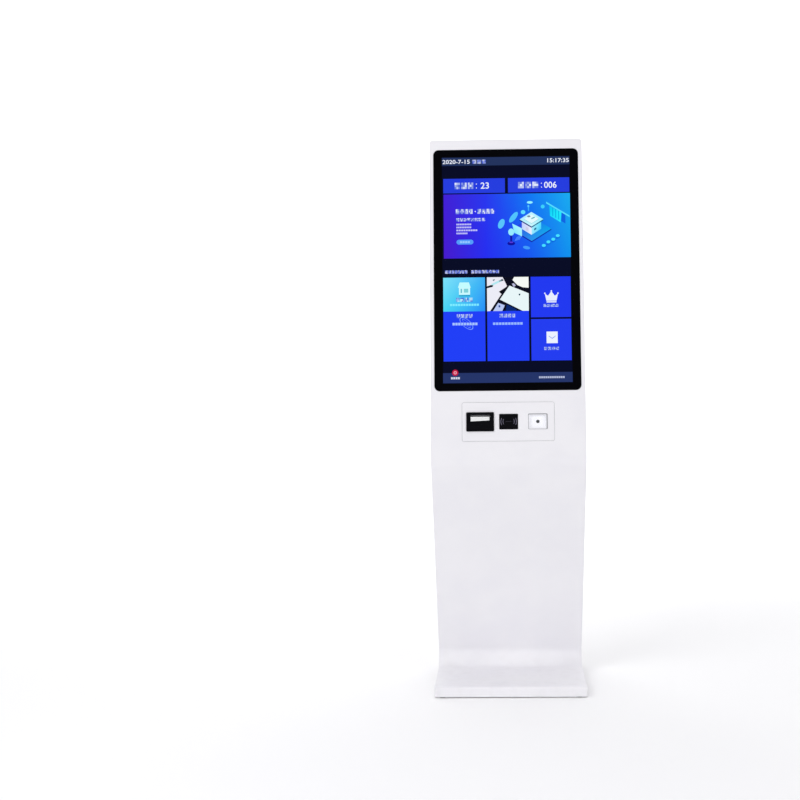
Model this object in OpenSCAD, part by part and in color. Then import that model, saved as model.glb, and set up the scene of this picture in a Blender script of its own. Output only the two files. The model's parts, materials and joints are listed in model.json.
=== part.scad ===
// Free-standing queue ticket machine: a bent sheet-steel body with a leaning head, a slanted
// column and a flat foot. The head carries a portrait touch display, and below it a module
// plate with a ticket printer, a contactless card reader and a code scanner.
// Front is -Y, +X is to the right of someone facing the machine, and Z is up from the floor.
// The origin is on the floor, in the middle of the body's width and depth.

/* [Body] */
// Width across the two side panels
body_w = 470; // [440:5:580]
// Height of the head above the floor
body_h = 1720; // [1690:10:2080]
// Height above the floor of the bend between head and column
chest_h = 733; // [700:1:800]
// Lean of the head, back from the vertical, in degrees
head_lean = 6.5; // [4:0.5:10]
// Slope of the column, from the vertical, in degrees
column_slope = 26; // [22:1:28]
// Thickness of the head from face to back
head_d = 100; // [96:1:130]
// Thickness of the column from front to back
column_d = 96; // [94:1:130]
// Thickness of the body's sheet steel
sheet_t = 2; // [1.5:0.1:2.4]
// Radius of the bend between head and column
chest_r = 80; // [60:5:100]
// Radius of the head's top corners, seen from the front
crown_r = 10; // [6:1:14]
// Length of the top cap's two legs
cap_leg = 30; // [24:1:40]

/* [Foot] */
// Height of the foot's top above the floor
foot_h = 34; // [30:1:45]
// Length of the foot in front of the column
foot_l = 290; // [240:5:340]
// Radius of the toe's top edge
toe_r = 8; // [6:1:16]
// Radius between foot and column
instep_r = 40; // [30:1:60]
// Height of the heel's top edge above the floor
heel_h = 58; // [50:1:80]
// Thickness of the base plate
base_t = 6; // [5:0.5:8]
// Thickness of the rubber pads under the base plate
pad_h = 3; // [2:0.5:5]
// Radius of a rubber pad
pad_r = 18; // [12:1:22]
// Radius of the floor anchor holes
anchor_r = 6; // [5:0.5:7]
// Distance between anchor holes, side to side
anchor_x = 340; // [280:5:400]
// Distance between anchor holes, front to back
anchor_y = 56; // [40:1:64]
// Inner radius of the cable grommet in the base plate
grommet_r = 12; // [8:1:16]

/* [Display] */
// Width of the touch glass
glass_w = 445; // [420:1:500]
// Height of the touch glass
glass_h = 746; // [650:1:860]
// Corner radius of the touch glass
glass_r = 16; // [8:1:20]
// Thickness of the touch glass
glass_t = 4; // [3:0.5:5]
// Height of plain face above the glass
brow_h = 31; // [26:1:40]
// Gap around the glass and around each inset plate
inset_gap = 0.8; // [0.5:0.1:1.2]
// Width of the picture
picture_w = 392.9; // [340:0.1:430]
// Height of the picture
picture_h = 698.4; // [600:0.1:780]
// Depth of the display unit behind the glass
lcd_d = 16; // [14:1:22]

/* [Module plate] */
// Width of the module plate
plate_w = 279; // [270:1:300]
// Height of the module plate
plate_h = 117; // [110:1:125]
// Height of the module plate's centre above the chest bend, along the face
plate_s = 122; // [118:1:126]
// Distance of the printer's centre to the left of the plate's centre
printer_x = 85.1; // [84:0.1:88]
// Distance of the card reader's centre to the right of the plate's centre
reader_x = 1.1; // [-2:0.1:3]
// Distance of the scanner's centre to the right of the plate's centre
scanner_x = 89.6; // [88:0.1:92]
// Width of the printer's bezel
printer_w = 84; // [82:1:88]
// Height of the printer's bezel
printer_h = 58; // [54:1:62]
// Width of the card reader's window
reader_w = 57; // [50:1:60]
// Height of the card reader's window
reader_h = 47; // [40:1:52]
// Width of the scanner's bezel
scanner_w = 59; // [54:1:62]
// Height of the scanner's bezel
scanner_h = 48; // [42:1:52]

/* [Ticket printer] */
// Width of the ticket paper
paper_w = 57; // [50:1:58]
// Thickness of the ticket paper
paper_t = 0.2; // [0.15:0.05:0.3]
// Radius of a full paper roll
roll_r = 29; // [22:1:30]
// Radius of the roll's spindle
spindle_r = 6; // [5:0.5:8]
// Radius of the rubber platen
platen_r = 6; // [5:0.5:6]
// Radius of the platen's shaft
shaft_r = 2.5; // [2:0.1:3]
// Module of the two feed gears
gear_m = 1; // [0.9:0.05:1.1]
// Teeth on the platen's gear
platen_teeth = 20; // [18:1:22]
// Teeth on the motor's pinion
pinion_teeth = 12; // [11:1:13]
// Height of the ticket slot's paper line above the printer's centre
slot_s = 18; // [16:1:18]
// Length of ticket that hangs out of the slot
ticket_drop = 14; // [8:1:18]
// Travel of the cutter's blade
cutter_travel = 4.5; // [4:0.5:5]

/* [Service doors] */
// Width of both doors
door_w = 378; // [360:1:384]
// Height of the upper door
upper_door_h = 640; // [560:5:660]
// Height of the upper door's lower edge above the chest bend, along the head
upper_door_s = 54; // [52:1:60]
// Height of the lower door
lower_door_h = 360; // [300:5:380]
// Distance of the lower door's upper edge below the chest bend, along the column
lower_door_s = 255; // [250:5:280]
// Gap around a door
door_gap = 1; // [0.8:0.1:1.5]
// Depth of a door's return flange
door_flange = 14; // [10:1:15]
// Depth of the collar around a door opening
collar_d = 18; // [17:1:20]
// Radius of a hinge's barrel
barrel_r = 4.5; // [4:0.25:5]
// Radius of a hinge's pin
pin_r = 2.5; // [2:0.1:3]
// Length of a hinge
hinge_l = 50; // [40:2:60]

/* [Hidden] */
$fn = 48;
arc_step = 4;          // degrees of turn between two points of a bend
far = 2000;            // longer than anything that is cut with it
seat_gap = 0.3;        // clearance between a piece and what carries it
run_gap = 0.06;        // radial clearance of a shaft in its hole
white = "whitesmoke";

// ---- Plane geometry in a side view: [y, z] points, and corners as [y, z, radius] ----
function unit(v) = v / norm(v);
function left_of(v) = [-v[1], v[0]];
function cross2(a, b) = a[0] * b[1] - a[1] * b[0];
function turned(v, t) = [v[0] * cos(t) - v[1] * sin(t), v[0] * sin(t) + v[1] * cos(t)];
function place_of(k) = [k[0], k[1]];
function reversed(list) = [for (i = [len(list) - 1 : -1 : 0]) list[i]];

// The points of a bend of radius r at corner q, on the way from p to s.
function bend(p, q, s, r) =
    let (
        a = unit(q - p),
        b = unit(s - q),
        t = atan2(cross2(a, b), a * b),
        steps = max(1, ceil(abs(t) / arc_step)),
        centre = q + (left_of(a) + left_of(b)) * sign(t) * r / (1 + a * b)
    )
    r <= 0 ? [q] : [for (i = [0 : steps]) centre - turned(left_of(a), t * i / steps) * sign(t) * r];

// A path through corners k, bent at each one between its two ends.
function path(k) = [
    for (i = [0 : len(k) - 1])
        each (i == 0 || i == len(k) - 1)
            ? [place_of(k[i])]
            : bend(place_of(k[i - 1]), place_of(k[i]), place_of(k[i + 1]), k[i][2])
];

// A closed outline through corners k, bent at every one.
function loop(k) = [
    for (i = [0 : len(k) - 1])
        let (n = len(k))
        each bend(place_of(k[(i + n - 1) % n]), place_of(k[i]), place_of(k[(i + 1) % n]), k[i][2])
];

// The corners of the path that runs d to the left of path k.
function shifted(k, d) = [
    for (i = [0 : len(k) - 1])
        let (
            q = place_of(k[i]),
            a = i > 0 ? unit(q - place_of(k[i - 1])) : unit(place_of(k[1]) - q),
            b = i < len(k) - 1 ? unit(place_of(k[i + 1]) - q) : a,
            moved = q + (left_of(a) + left_of(b)) * d / (1 + a * b)
        )
        [moved[0], moved[1], k[i][2] > 0 ? k[i][2] - sign(cross2(a, b)) * d : 0]
];

// Sheet between the paths that run d0 and d1 to the left of path k.
module strip(k, d0, d1) {
    polygon(concat(path(shifted(k, d0)), reversed(path(shifted(k, d1)))));
}

// Extrudes a side view by w along X, centred.
module across(w) {
    rotate([90, 0, 90]) linear_extrude(w, center = true) children();
}

// A plate seen from the front, w by h with corner radius r, from depth y0 to y1.
module panel(w, h, r, y0, y1) {
    corners = [[-w / 2, -h / 2, r], [w / 2, -h / 2, r], [w / 2, h / 2, r], [-w / 2, h / 2, r]];
    translate([0, y1, 0]) rotate([90, 0, 0]) linear_extrude(y1 - y0) polygon(loop(corners));
}

// A box centred on X and Z that runs from depth y0 to y1.
module block(w, y0, y1, h) {
    translate([-w / 2, y0, -h / 2]) cube([w, y1 - y0, h]);
}

// A cylinder along Y from y0 to y1.
module peg(r, y0, y1) {
    translate([0, y0, 0]) rotate([-90, 0, 0]) cylinder(r = r, h = y1 - y0);
}

// A cylinder along X, centred.
module rod(r, l) {
    rotate([0, 90, 0]) cylinder(r = r, h = l, center = true);
}

// Rows of level slots, w long and h high, pitch apart, through depths y0 to y1.
module slots(columns, rows, w, h, pitch_x, pitch_z, y0, y1) {
    for (i = [0 : columns - 1], j = [0 : rows - 1])
        translate([(i - (columns - 1) / 2) * pitch_x, 0, (j - (rows - 1) / 2) * pitch_z])
            block(w, y0, y1, h);
}

// ---- Body lines in the side view ----
inner_w = body_w - 2 * sheet_t;
heel_run = (chest_h - heel_h) * tan(column_slope) + column_d / cos(column_slope);
chest_over = chest_r * ((cos(head_lean) + cos(column_slope)) / (1 + cos(head_lean + column_slope)) - 1);
chest_y = -(heel_run + chest_over) / 2;
heel_y = chest_y + heel_run;
instep_y = chest_y + (chest_h - foot_h) * tan(column_slope);
toe_y = instep_y - foot_l;
head_l = (body_h - chest_h) / cos(head_lean);
// Where the head's back meets the column's back, from the chest bend.
nape = [
    (head_d * sin(column_slope) + column_d * sin(head_lean)) / sin(head_lean + column_slope),
    (column_d * cos(head_lean) - head_d * cos(column_slope)) / sin(head_lean + column_slope)
];
nape_r = 60;
heel_r = 20;
base_top = pad_h + base_t;

// A point of the side view, s up the head and d deep from its face.
function head_point(s, d) = [
    chest_y + s * sin(head_lean) + d * cos(head_lean),
    chest_h + s * cos(head_lean) - d * sin(head_lean)
];
function column_front(z) = chest_y + (chest_h - z) * tan(column_slope);
function front_corners(s) = [
    [toe_y, pad_h, 0],
    [toe_y, foot_h, toe_r],
    [instep_y, foot_h, instep_r],
    [chest_y, chest_h, chest_r],
    [head_point(s, 0)[0], head_point(s, 0)[1], 0],
];
function rear_corners(s) = [
    [heel_y, pad_h, 0],
    [heel_y, heel_h, heel_r],
    [chest_y + nape[0], chest_h + nape[1], nape_r],
    [head_point(s, head_d)[0], head_point(s, head_d)[1], 0],
];
spine_corners = [
    [column_front(-far / 4), -far / 4, 0],
    [chest_y, chest_h, chest_r],
    [head_point(head_l, 0)[0], head_point(head_l, 0)[1], 0],
];

// Puts children s up the head's face, with local Y going inwards from the face.
module on_head(s = 0, x = 0) {
    translate([0, chest_y, chest_h]) rotate([-head_lean, 0, 0]) translate([x, 0, s]) children();
}
// Puts children s down the column, with local Y going inwards from its front.
module on_column(s = 0, x = 0) {
    translate([0, chest_y, chest_h]) rotate([column_slope, 0, 0]) translate([x, 0, -s]) children();
}
// The same two places, with local Y going outwards from the back's outer surface.
module on_head_back(s = 0, x = 0) {
    on_head(s, x) translate([0, head_d, 0]) children();
}
module on_column_back(s = 0, x = 0) {
    on_column(s, x) translate([0, column_d, 0]) children();
}

// ---- Sheet-metal body ----
glass_s = head_l - brow_h - glass_h / 2;
ledge_t = 2;
ledge_rim = 6;
ledge_view = 10;       // how much wider than the picture the ledge's window is
tape_view = 12;
tape_t = 1;
pocket_d = glass_t + tape_t;
ledge_back = pocket_d + ledge_t;
// Everything below the top cap's rounded corners.
module crown_outline() {
    on_head(-sheet_t) panel(inner_w, 2 * head_l, crown_r - sheet_t, -far / 2, far / 2);
}
module front_skin() {
    color(white) difference() {
        intersection() {
            across(inner_w) strip(front_corners(head_l - sheet_t), 0, -sheet_t);
            crown_outline();
        }
        on_head(glass_s)
            panel(glass_w + 2 * inset_gap, glass_h + 2 * inset_gap, glass_r + inset_gap, -1, sheet_t + 1);
        on_head(plate_s)
            panel(plate_w + 2 * inset_gap, plate_h + 2 * inset_gap, plate_r + inset_gap, -1, sheet_t + 1);
    }
}

speaker_s = 300;
speaker_h = 70;
speaker_d = 26;
speaker_y = head_d - sheet_t - speaker_d / 2 - 4;
grille_pitch = 8;
grille_h = 3;
grille_end = 5;        // plain sheet left at both ends of a grille slot
module side_panel(side) {
    color(white) difference() {
        translate([side * (body_w - sheet_t) / 2, 0, 0]) across(sheet_t)
            polygon(concat(
                path(front_corners(head_l - cap_leg)),
                reversed(path(rear_corners(head_l - cap_leg)))
            ));
        for (i = [-3 : 3])
            on_head(speaker_s + i * grille_pitch, side * body_w / 2) translate([0, speaker_y, 0])
                block(6 * sheet_t, -speaker_d / 2 + grille_end, speaker_d / 2 - grille_end, grille_h);
    }
}

module top_cap() {
    half = body_w / 2;
    walls = [[-half, -cap_leg, 0], [-half, 0, crown_r], [half, 0, crown_r], [half, -cap_leg, 0]];
    color(white) on_head(head_l) translate([0, head_d, 0]) rotate([90, 0, 0])
        linear_extrude(head_d) strip(walls, 0, -sheet_t);
}

fan_w = 92;
fan_d = 25;
fan_s = head_l - 130;
fan_hole_r = 42;
vent_x = 150;
vent_w = 60;
vent_h = 3;
vent_pitch = 8;
inlet_w = 52;
inlet_h = 30;
inlet_s = (chest_h - heel_h) / cos(column_slope) - 62;
inlet_x = 140;
upper_door_mid = upper_door_s + upper_door_h / 2;
lower_door_mid = lower_door_s + lower_door_h / 2;
opening_w = door_w + 2 * door_gap;

module collar(h) {
    difference() {
        block(opening_w + 2 * sheet_t, -collar_d - sheet_t, -sheet_t / 2, h + 2 * door_gap + 2 * sheet_t);
        block(opening_w, -far, far, h + 2 * door_gap);
    }
}

module rear_skin() {
    color(white) difference() {
        union() {
            difference() {
                intersection() {
                    across(inner_w) strip(rear_corners(head_l - sheet_t), 0, sheet_t);
                    crown_outline();
                }
                on_head_back(upper_door_mid) block(opening_w, -5, 5, upper_door_h + 2 * door_gap);
                on_column_back(lower_door_mid) block(opening_w, -5, 5, lower_door_h + 2 * door_gap);
            }
            on_head_back(upper_door_mid) collar(upper_door_h);
            on_column_back(lower_door_mid) collar(lower_door_h);
        }
        on_head_back(fan_s) peg(fan_hole_r, -5, 5);
        for (side = [-1, 1]) on_head_back(fan_s, side * vent_x)
            slots(1, 12, vent_w, vent_h, 0, vent_pitch, -5, 5);
        on_column_back(inlet_s, inlet_x) block(inlet_w + 2 * seat_gap, -5, 5, inlet_h + 2 * seat_gap);
    }
}

base_front = toe_y + sheet_t + seat_gap;
base_back = heel_y - sheet_t - seat_gap;
anchor_edge = 12;      // from an anchor hole's centre to the rear skin
anchor_mid = heel_y - sheet_t - anchor_edge - anchor_y / 2;
grommet_flange = 4;
grommet_wall = 3;
grommet_lip = 1.5;
grommet_cap = 2.5;
rib_t = 3;
module base_plate() {
    rib_l = foot_l - 2 * sheet_t - toe_r - instep_r;
    color("gainsboro") difference() {
        union() {
            translate([-inner_w / 2 + seat_gap, base_front, pad_h])
                cube([inner_w - 2 * seat_gap, base_back - base_front, base_t]);
            for (x = [-1, 0, 1]) translate([x * inner_w / 3 - rib_t / 2, toe_y + sheet_t + toe_r, pad_h])
                cube([rib_t, rib_l, foot_h - sheet_t - pad_h]);
        }
        for (x = [-1, 1], y = [-1, 1])
            translate([x * anchor_x / 2, anchor_mid + y * anchor_y / 2, 0])
                cylinder(r = anchor_r, h = far, center = true);
        translate([0, anchor_mid, 0]) cylinder(r = grommet_r + grommet_wall, h = far, center = true);
    }
}

module cable_grommet() {
    flange_r = grommet_r + grommet_wall + grommet_flange;
    color("dimgray") translate([0, anchor_mid, pad_h - grommet_lip]) difference() {
        union() {
            cylinder(r = grommet_r + grommet_wall, h = base_t + grommet_lip + grommet_cap);
            cylinder(r = flange_r, h = grommet_lip);
            translate([0, 0, base_t + grommet_lip]) cylinder(r = flange_r, h = grommet_cap);
        }
        cylinder(r = grommet_r, h = far, center = true);
    }
}

pad_edge = 6;          // from a pad's rim to the edge of the base
module foot_pads() {
    inset = pad_r + pad_edge;
    for (x = [-1, 1], y = [toe_y + inset, (toe_y + heel_y) / 2, heel_y - inset])
        color("dimgray") translate([x * (body_w / 2 - inset), y, 0]) cylinder(r = pad_r, h = pad_h);
}

// ---- Inner frame ----
flange_d = 44;         // depth of the posts' flange behind the face
flange_w = 20;
post_d0 = 24;          // depth of the front edge of the posts' web
post_d1 = 64;
module frame_post(side) {
    color("silver") intersection() {
        union() {
            translate([side * (inner_w / 2 - sheet_t / 2), 0, 0]) across(sheet_t)
                strip(spine_corners, -post_d0, -post_d1);
            translate([side * (inner_w / 2 - flange_w / 2), 0, 0]) across(flange_w)
                strip(spine_corners, -flange_d, -flange_d - sheet_t);
        }
        translate([-far / 2, -far / 2, base_top]) cube([far, far, 2 * body_h]);
        on_head(-cap_leg) block(far, -far, far, 2 * head_l);
    }
}

rail_y = flange_d + sheet_t;
rail_h = 36;
rail_lip = 12;
pc_h = 200;
pc_s = min(glass_s - 145, upper_door_s + upper_door_h - pc_h / 2 - 50);
pc_rail_s = 85;        // distance of the computer's two rails from its middle
rail_steps = [pc_s - pc_rail_s, pc_s + pc_rail_s, glass_s + 190];
tray_h = 250;
tray_s = lower_door_s + 40 + tray_h / 2;
rail_w = inner_w - 2 * sheet_t - 2;
module cross_rails() {
    color("silver") {
        for (s = rail_steps) on_head(s) {
            block(rail_w, rail_y, rail_y + sheet_t, rail_h);
            translate([0, 0, -rail_h / 2 + sheet_t / 2]) block(rail_w, rail_y, rail_y + rail_lip, sheet_t);
        }
        on_column(tray_s) block(rail_w, rail_y, rail_y + sheet_t, tray_h);
    }
}

// ---- Display ----
module screen_ledge() {
    hole_w = picture_w + ledge_view;
    hole_h = picture_h + ledge_view;
    color("silver") on_head(glass_s) difference() {
        panel(glass_w + 2 * ledge_rim, glass_h + 2 * ledge_rim, glass_r + ledge_rim, sheet_t, ledge_back);
        panel(glass_w + 2 * inset_gap, glass_h + 2 * inset_gap, glass_r + inset_gap, -1, pocket_d);
        block(hole_w, -1, far, hole_h);
    }
}

module glass_tape() {
    color("black") on_head(glass_s) difference() {
        panel(glass_w - 2, glass_h - 2, glass_r - 1, glass_t, pocket_d);
        block(picture_w + tape_view, -1, far, picture_h + tape_view);
    }
}

module touch_glass() {
    color("black") on_head(glass_s) panel(glass_w, glass_h, glass_r, 0, glass_t);
}

lcd_y = ledge_back + seat_gap;
lcd_rim = 9.5;
lcd_w = picture_w + 2 * lcd_rim;
lcd_h = picture_h + 2 * lcd_rim;
lcd_wall = 1;
cell_t = 2.5;
guide_t = 5;
module lcd_bezel() {
    color("dimgray") on_head(glass_s) difference() {
        block(lcd_w, lcd_y, lcd_y + lcd_d, lcd_h);
        block(lcd_w - 2 * lcd_wall, lcd_y + lcd_wall, far, lcd_h - 2 * lcd_wall);
        block(picture_w + 1, -1, far, picture_h + 1);
    }
}
cell_w = lcd_w - 2 * lcd_wall - 1;
cell_h = lcd_h - 2 * lcd_wall - 1;
cell_y = lcd_y + lcd_wall + seat_gap;
guide_y = cell_y + cell_t + seat_gap;
chassis_t = 1.5;
chassis_y = lcd_y + lcd_d - chassis_t;
chassis_back = lcd_y + lcd_d;
module lcd_cell() {
    color("navy") on_head(glass_s) block(cell_w, cell_y, cell_y + cell_t, cell_h);
}
module light_guide() {
    color("white") on_head(glass_s) block(cell_w, guide_y, guide_y + guide_t, cell_h);
}
module lcd_chassis() {
    color("silver") on_head(glass_s) difference() {
        block(cell_w, guide_y + guide_t + seat_gap, chassis_back, cell_h);
        block(cell_w - 2 * lcd_wall, -1, chassis_y, cell_h - 2 * lcd_wall);
    }
}
channel_w = 24;
channel_x = 0.31 * lcd_w;
module display_rails() {
    for (x = [-1, 1])
        color("silver") on_head(glass_s, x * channel_x) difference() {
            block(channel_w, chassis_back, rail_y, lcd_h * 0.86);
            block(channel_w - 2 * sheet_t, chassis_back - 1, rail_y - sheet_t, lcd_h);
        }
}
board_w = 200;
board_h = 130;
board_s = glass_s + 90;
board_t = 1.6;
stud_l = 5;
plug_s = -44;          // the board's lead connector, from the board's middle
plug_y = chassis_back + 14;
module display_board() {
    face = chassis_back + stud_l + board_t;
    color("darkgreen") on_head(board_s) {
        block(board_w, chassis_back + stud_l, face, board_h);
        for (x = [-1, 1], z = [-1, 1]) translate([x * (board_w / 2 - 10), 0, z * (board_h / 2 - 9)])
            peg(3, chassis_back, chassis_back + stud_l);
        translate([-40, 0, 10]) block(34, face, face + 4.4, 34);
        translate([50, 0, plug_s]) block(60, face, plug_y, 14);
        translate([40, 0, 30]) block(44, face, face + 2.4, 26);
    }
}

// ---- Computer, power and cooling ----
pc_w = 200;
pc_d = 32;
pc_y = rail_y + rail_lip + seat_gap;
pc_x = 20;
button_r = 6;
fin_h = 8;
fin_t = 4;
fin_pitch = 12;
foot_w = 60;
button_bore = 8;
button_l = 6.5;
module mini_pc() {
    color("dimgray") on_head(pc_s, pc_x) difference() {
        union() {
            block(pc_w, pc_y, pc_y + pc_d - fin_h, pc_h);
            for (i = [-7 : 7]) translate([i * fin_pitch, 0, 0])
                block(fin_t, pc_y + pc_d - fin_h - 1, pc_y + pc_d, pc_h - 30);
            for (z = [-1, 1]) translate([0, 0, z * (pc_h / 2 - 18)])
                block(foot_w, rail_y + sheet_t, pc_y + 1, 20);
        }
        at_button(0) cylinder(r = button_r + run_gap, h = 2 * button_bore);
        for (i = [0 : 2]) translate([pc_w / 2, 0, -60 + i * 22]) block(12, pc_y + 6, pc_y + 14, 15);
    }
}
// The start button's bore in the computer's side, with local Z coming out of it.
module at_button(out) {
    translate([pc_w / 2 - button_bore + out, pc_y + (pc_d - fin_h) / 2, pc_h / 2 - 30])
        rotate([0, 90, 0]) children();
}
module pc_button() {
    color("silver") on_head(pc_s, pc_x) at_button(button_bore / 2) cylinder(r = button_r, h = button_l);
}

psu_w = 160;
psu_h = 98;
psu_d = 38;
psu_t = 1.5;
psu_x = -40;
coil_w = 40;
psu_y = rail_y + sheet_t;
psu_s = tray_s - 58;
psu_top = psu_s - psu_h / 2;
module power_supply() {
    inside = psu_y + psu_t;
    color("silver") on_column(psu_s, psu_x) {
        difference() {
            block(psu_w, psu_y, psu_y + psu_d, psu_h);
            block(psu_w - 2 * psu_t, inside, psu_y + psu_d - psu_t, psu_h - 2 * psu_t);
            translate([-10, 0, 0]) slots(9, 9, 6, vent_h, 14, 9, psu_y + psu_d - 5, far);
        }
        block(psu_w - 40, inside, inside + board_t, psu_h - 12);
        translate([30, 0, 0]) block(coil_w, inside + board_t, psu_y + 28, coil_w);
    }
}

strip_w = 260;
strip_h = 46;
strip_d = 36;
strip_s = tray_s + 78;
strip_x = -20;
outlet_pitch = 52;
module socket_strip() {
    color("ivory") on_column(strip_s, strip_x) difference() {
        block(strip_w, psu_y, psu_y + strip_d, strip_h);
        for (i = [-1.5 : 1.5], z = [-1, 1])
            translate([i * outlet_pitch, 0, z * 8]) block(12, psu_y + strip_d - 16, far, 4);
    }
}

fan_y = head_d - sheet_t - fan_d;
fan_bore_r = 41;
hub_r = 17;
blade_r = 38.5;
blade_n = 7;
blade_pitch = 35;
blade_chord = 22;
spider_t = 3;
spider_w = 5;
module fan_frame() {
    color("black") on_head(fan_s) difference() {
        block(fan_w, fan_y, fan_y + fan_d, fan_w);
        peg(fan_bore_r, fan_y - 1, fan_y + fan_d - spider_t);
        difference() {
            peg(fan_bore_r, fan_y - 1, fan_y + fan_d + 1);
            peg(hub_r, fan_y - 2, fan_y + fan_d + 2);
            for (a = [45, 135]) rotate([0, a, 0])
                block(2 * fan_w, fan_y - 1, fan_y + fan_d + 1, spider_w);
        }
    }
}
module fan_rotor() {
    color("black") on_head(fan_s) {
        peg(hub_r, fan_y + 1, fan_y + fan_d - spider_t - seat_gap);
        for (i = [0 : blade_n - 1]) rotate([0, i * 360 / blade_n, 0])
            translate([(hub_r + blade_r) / 2 - 1, fan_y + fan_d / 2 - 2, 0]) rotate([blade_pitch, 0, 0])
                block(blade_r - hub_r, -1, 1, blade_chord);
    }
}
guard_wire = 1.2;
guard_rings = [12, 20, 28, 36, 44];
module fan_guard() {
    color("silver") on_head_back(fan_s) rotate([-90, 0, 0]) {
        for (r = guard_rings) translate([0, 0, 2.6 * guard_wire])
            rotate_extrude() translate([r, 0]) circle(guard_wire);
        for (a = [45 : 90 : 315]) rotate([0, 0, a]) {
            translate([guard_rings[0] - 1, -guard_wire, 0]) cube([43, 2 * guard_wire, 2 * guard_wire]);
            translate([fan_w / 2 + 11, 0, 0]) difference() {
                cylinder(r = 5, h = 2 * guard_wire);
                cylinder(r = 2, h = far, center = true);
            }
        }
    }
}

speaker_w = 24;
module speakers() {
    for (side = [-1, 1])
        color("dimgray") on_head(speaker_s, side * (inner_w - speaker_w) / 2) translate([0, speaker_y, 0])
            difference() {
                block(speaker_w, -speaker_d / 2, speaker_d / 2, speaker_h);
                translate([side * speaker_w / 2, 0, 0])
                    block(6, -speaker_d / 2 + 3, speaker_d / 2 - 3, speaker_h - 8);
            }
}

// ---- Module plate ----
plate_r = 6;
hole_inset = 3;        // how far a module's face covers the plate around its hole
module_holes = [
    [-printer_x, printer_w, printer_h],
    [reader_x, reader_w, reader_h],
    [scanner_x, scanner_w, scanner_h],
];
module module_plate() {
    color(white) on_head(plate_s) difference() {
        panel(plate_w, plate_h, plate_r, 0, sheet_t);
        for (hole = module_holes)
            translate([hole[0], 0, 0]) block(hole[1] - 2 * hole_inset, -1, far, hole[2] - 2 * hole_inset);
    }
}
frame_lap = 8;
module module_frame() {
    color("silver") on_head(plate_s) {
        difference() {
            panel(plate_w + 2 * frame_lap, plate_h + 2 * frame_lap, plate_r, sheet_t, 2 * sheet_t);
            block(plate_w - frame_lap, -1, far, plate_h - 2 * frame_lap);
        }
        for (x = [-1, 1], z = [-1, 1])
            translate([x * (plate_w / 2 - 1), 0, z * (plate_h / 2 - 5)])
                peg(3, 2 * sheet_t, 2 * sheet_t + 3);
    }
}

bezel_t = 3;
plug_d = 8;
slot_h = 6;
slot_w = paper_w + 4;
module at_printer() {
    on_head(plate_s, -printer_x) children();
}
module printer_bezel() {
    color("black") at_printer() difference() {
        union() {
            panel(printer_w, printer_h, 3, -bezel_t, 0);
            block(printer_w - 2 * hole_inset - 1, -1, plug_d, printer_h - 2 * hole_inset - 1);
        }
        block(printer_w - 2 * hole_inset - 8, 2, far, printer_h - 2 * hole_inset - 8);
        translate([0, 0, slot_s]) block(slot_w, -far, far, slot_h);
    }
}

blade_y = 9.4;
blade_t = 1;
blade_h = 10;
blade_gap = 0.1;
cut_s = slot_s + 2.8;  // height that the lifted blade reaches
blade_s = cut_s - cutter_travel - blade_h / 2;
guide_x = paper_w / 2 + 0.6;
side_t = 1.5;
frame_front = plug_d + seat_gap;
frame_back = 70;
frame_half = slot_s + 12;
side_x = 36;
platen_y = 22;
platen_s = slot_s - paper_t / 2 - seat_gap - platen_r;
gear_span = gear_m * (platen_teeth + pinion_teeth) / 2 + 0.1;
motor_angle = 20;
motor_y = platen_y + gear_span * cos(motor_angle);
motor_s = platen_s - gear_span * sin(motor_angle);
pinion_shaft_r = 1.5;
module printer_frame() {
    guide_w = side_x - guide_x;
    color("silver") at_printer() difference() {
        union() {
            for (x = [-1, 1]) translate([x * side_x, 0, 0])
                block(side_t, frame_front, frame_back, 2 * frame_half);
            translate([0, 0, -frame_half + side_t / 2])
                block(2 * side_x, frame_front, frame_back, side_t);
            translate([0, 0, frame_half - 4]) block(2 * side_x, frame_back - 8, frame_back - 6, 8);
            for (x = [-1, 1]) translate([x * (guide_x + guide_w / 2), 0, blade_s])
                block(guide_w, frame_front, blade_y + blade_t + blade_gap + side_t, blade_h);
        }
        translate([0, 0, blade_s])
            block(slot_w + 2 * blade_gap, blade_y - blade_gap, blade_y + blade_t + blade_gap, far);
        translate([0, platen_y, platen_s]) rod(shaft_r + run_gap, 4 * side_x);
        translate([0, motor_y, motor_s]) rod(pinion_shaft_r + run_gap, 4 * side_x);
    }
}
head_s = slot_s + paper_t / 2 + seat_gap;
module thermal_head() {
    color("silver") at_printer() translate([0, 0, head_s]) {
        translate([0, 0, 3]) block(2 * side_x - side_t, platen_y - 4, platen_y + 4, 6);
        for (i = [-3 : 3]) translate([i * 9, 0, 8]) block(3, platen_y - 4, platen_y + 14, 4);
        translate([0, 0, 5]) block(2 * side_x - side_t - 6, platen_y + 4, platen_y + 14, 2);
    }
}
module platen_roller() {
    color("black") at_printer() translate([0, platen_y, platen_s]) {
        rod(platen_r, paper_w + 3);
        translate([4, 0, 0]) rod(shaft_r, 2 * side_x + 12);
    }
}

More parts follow.
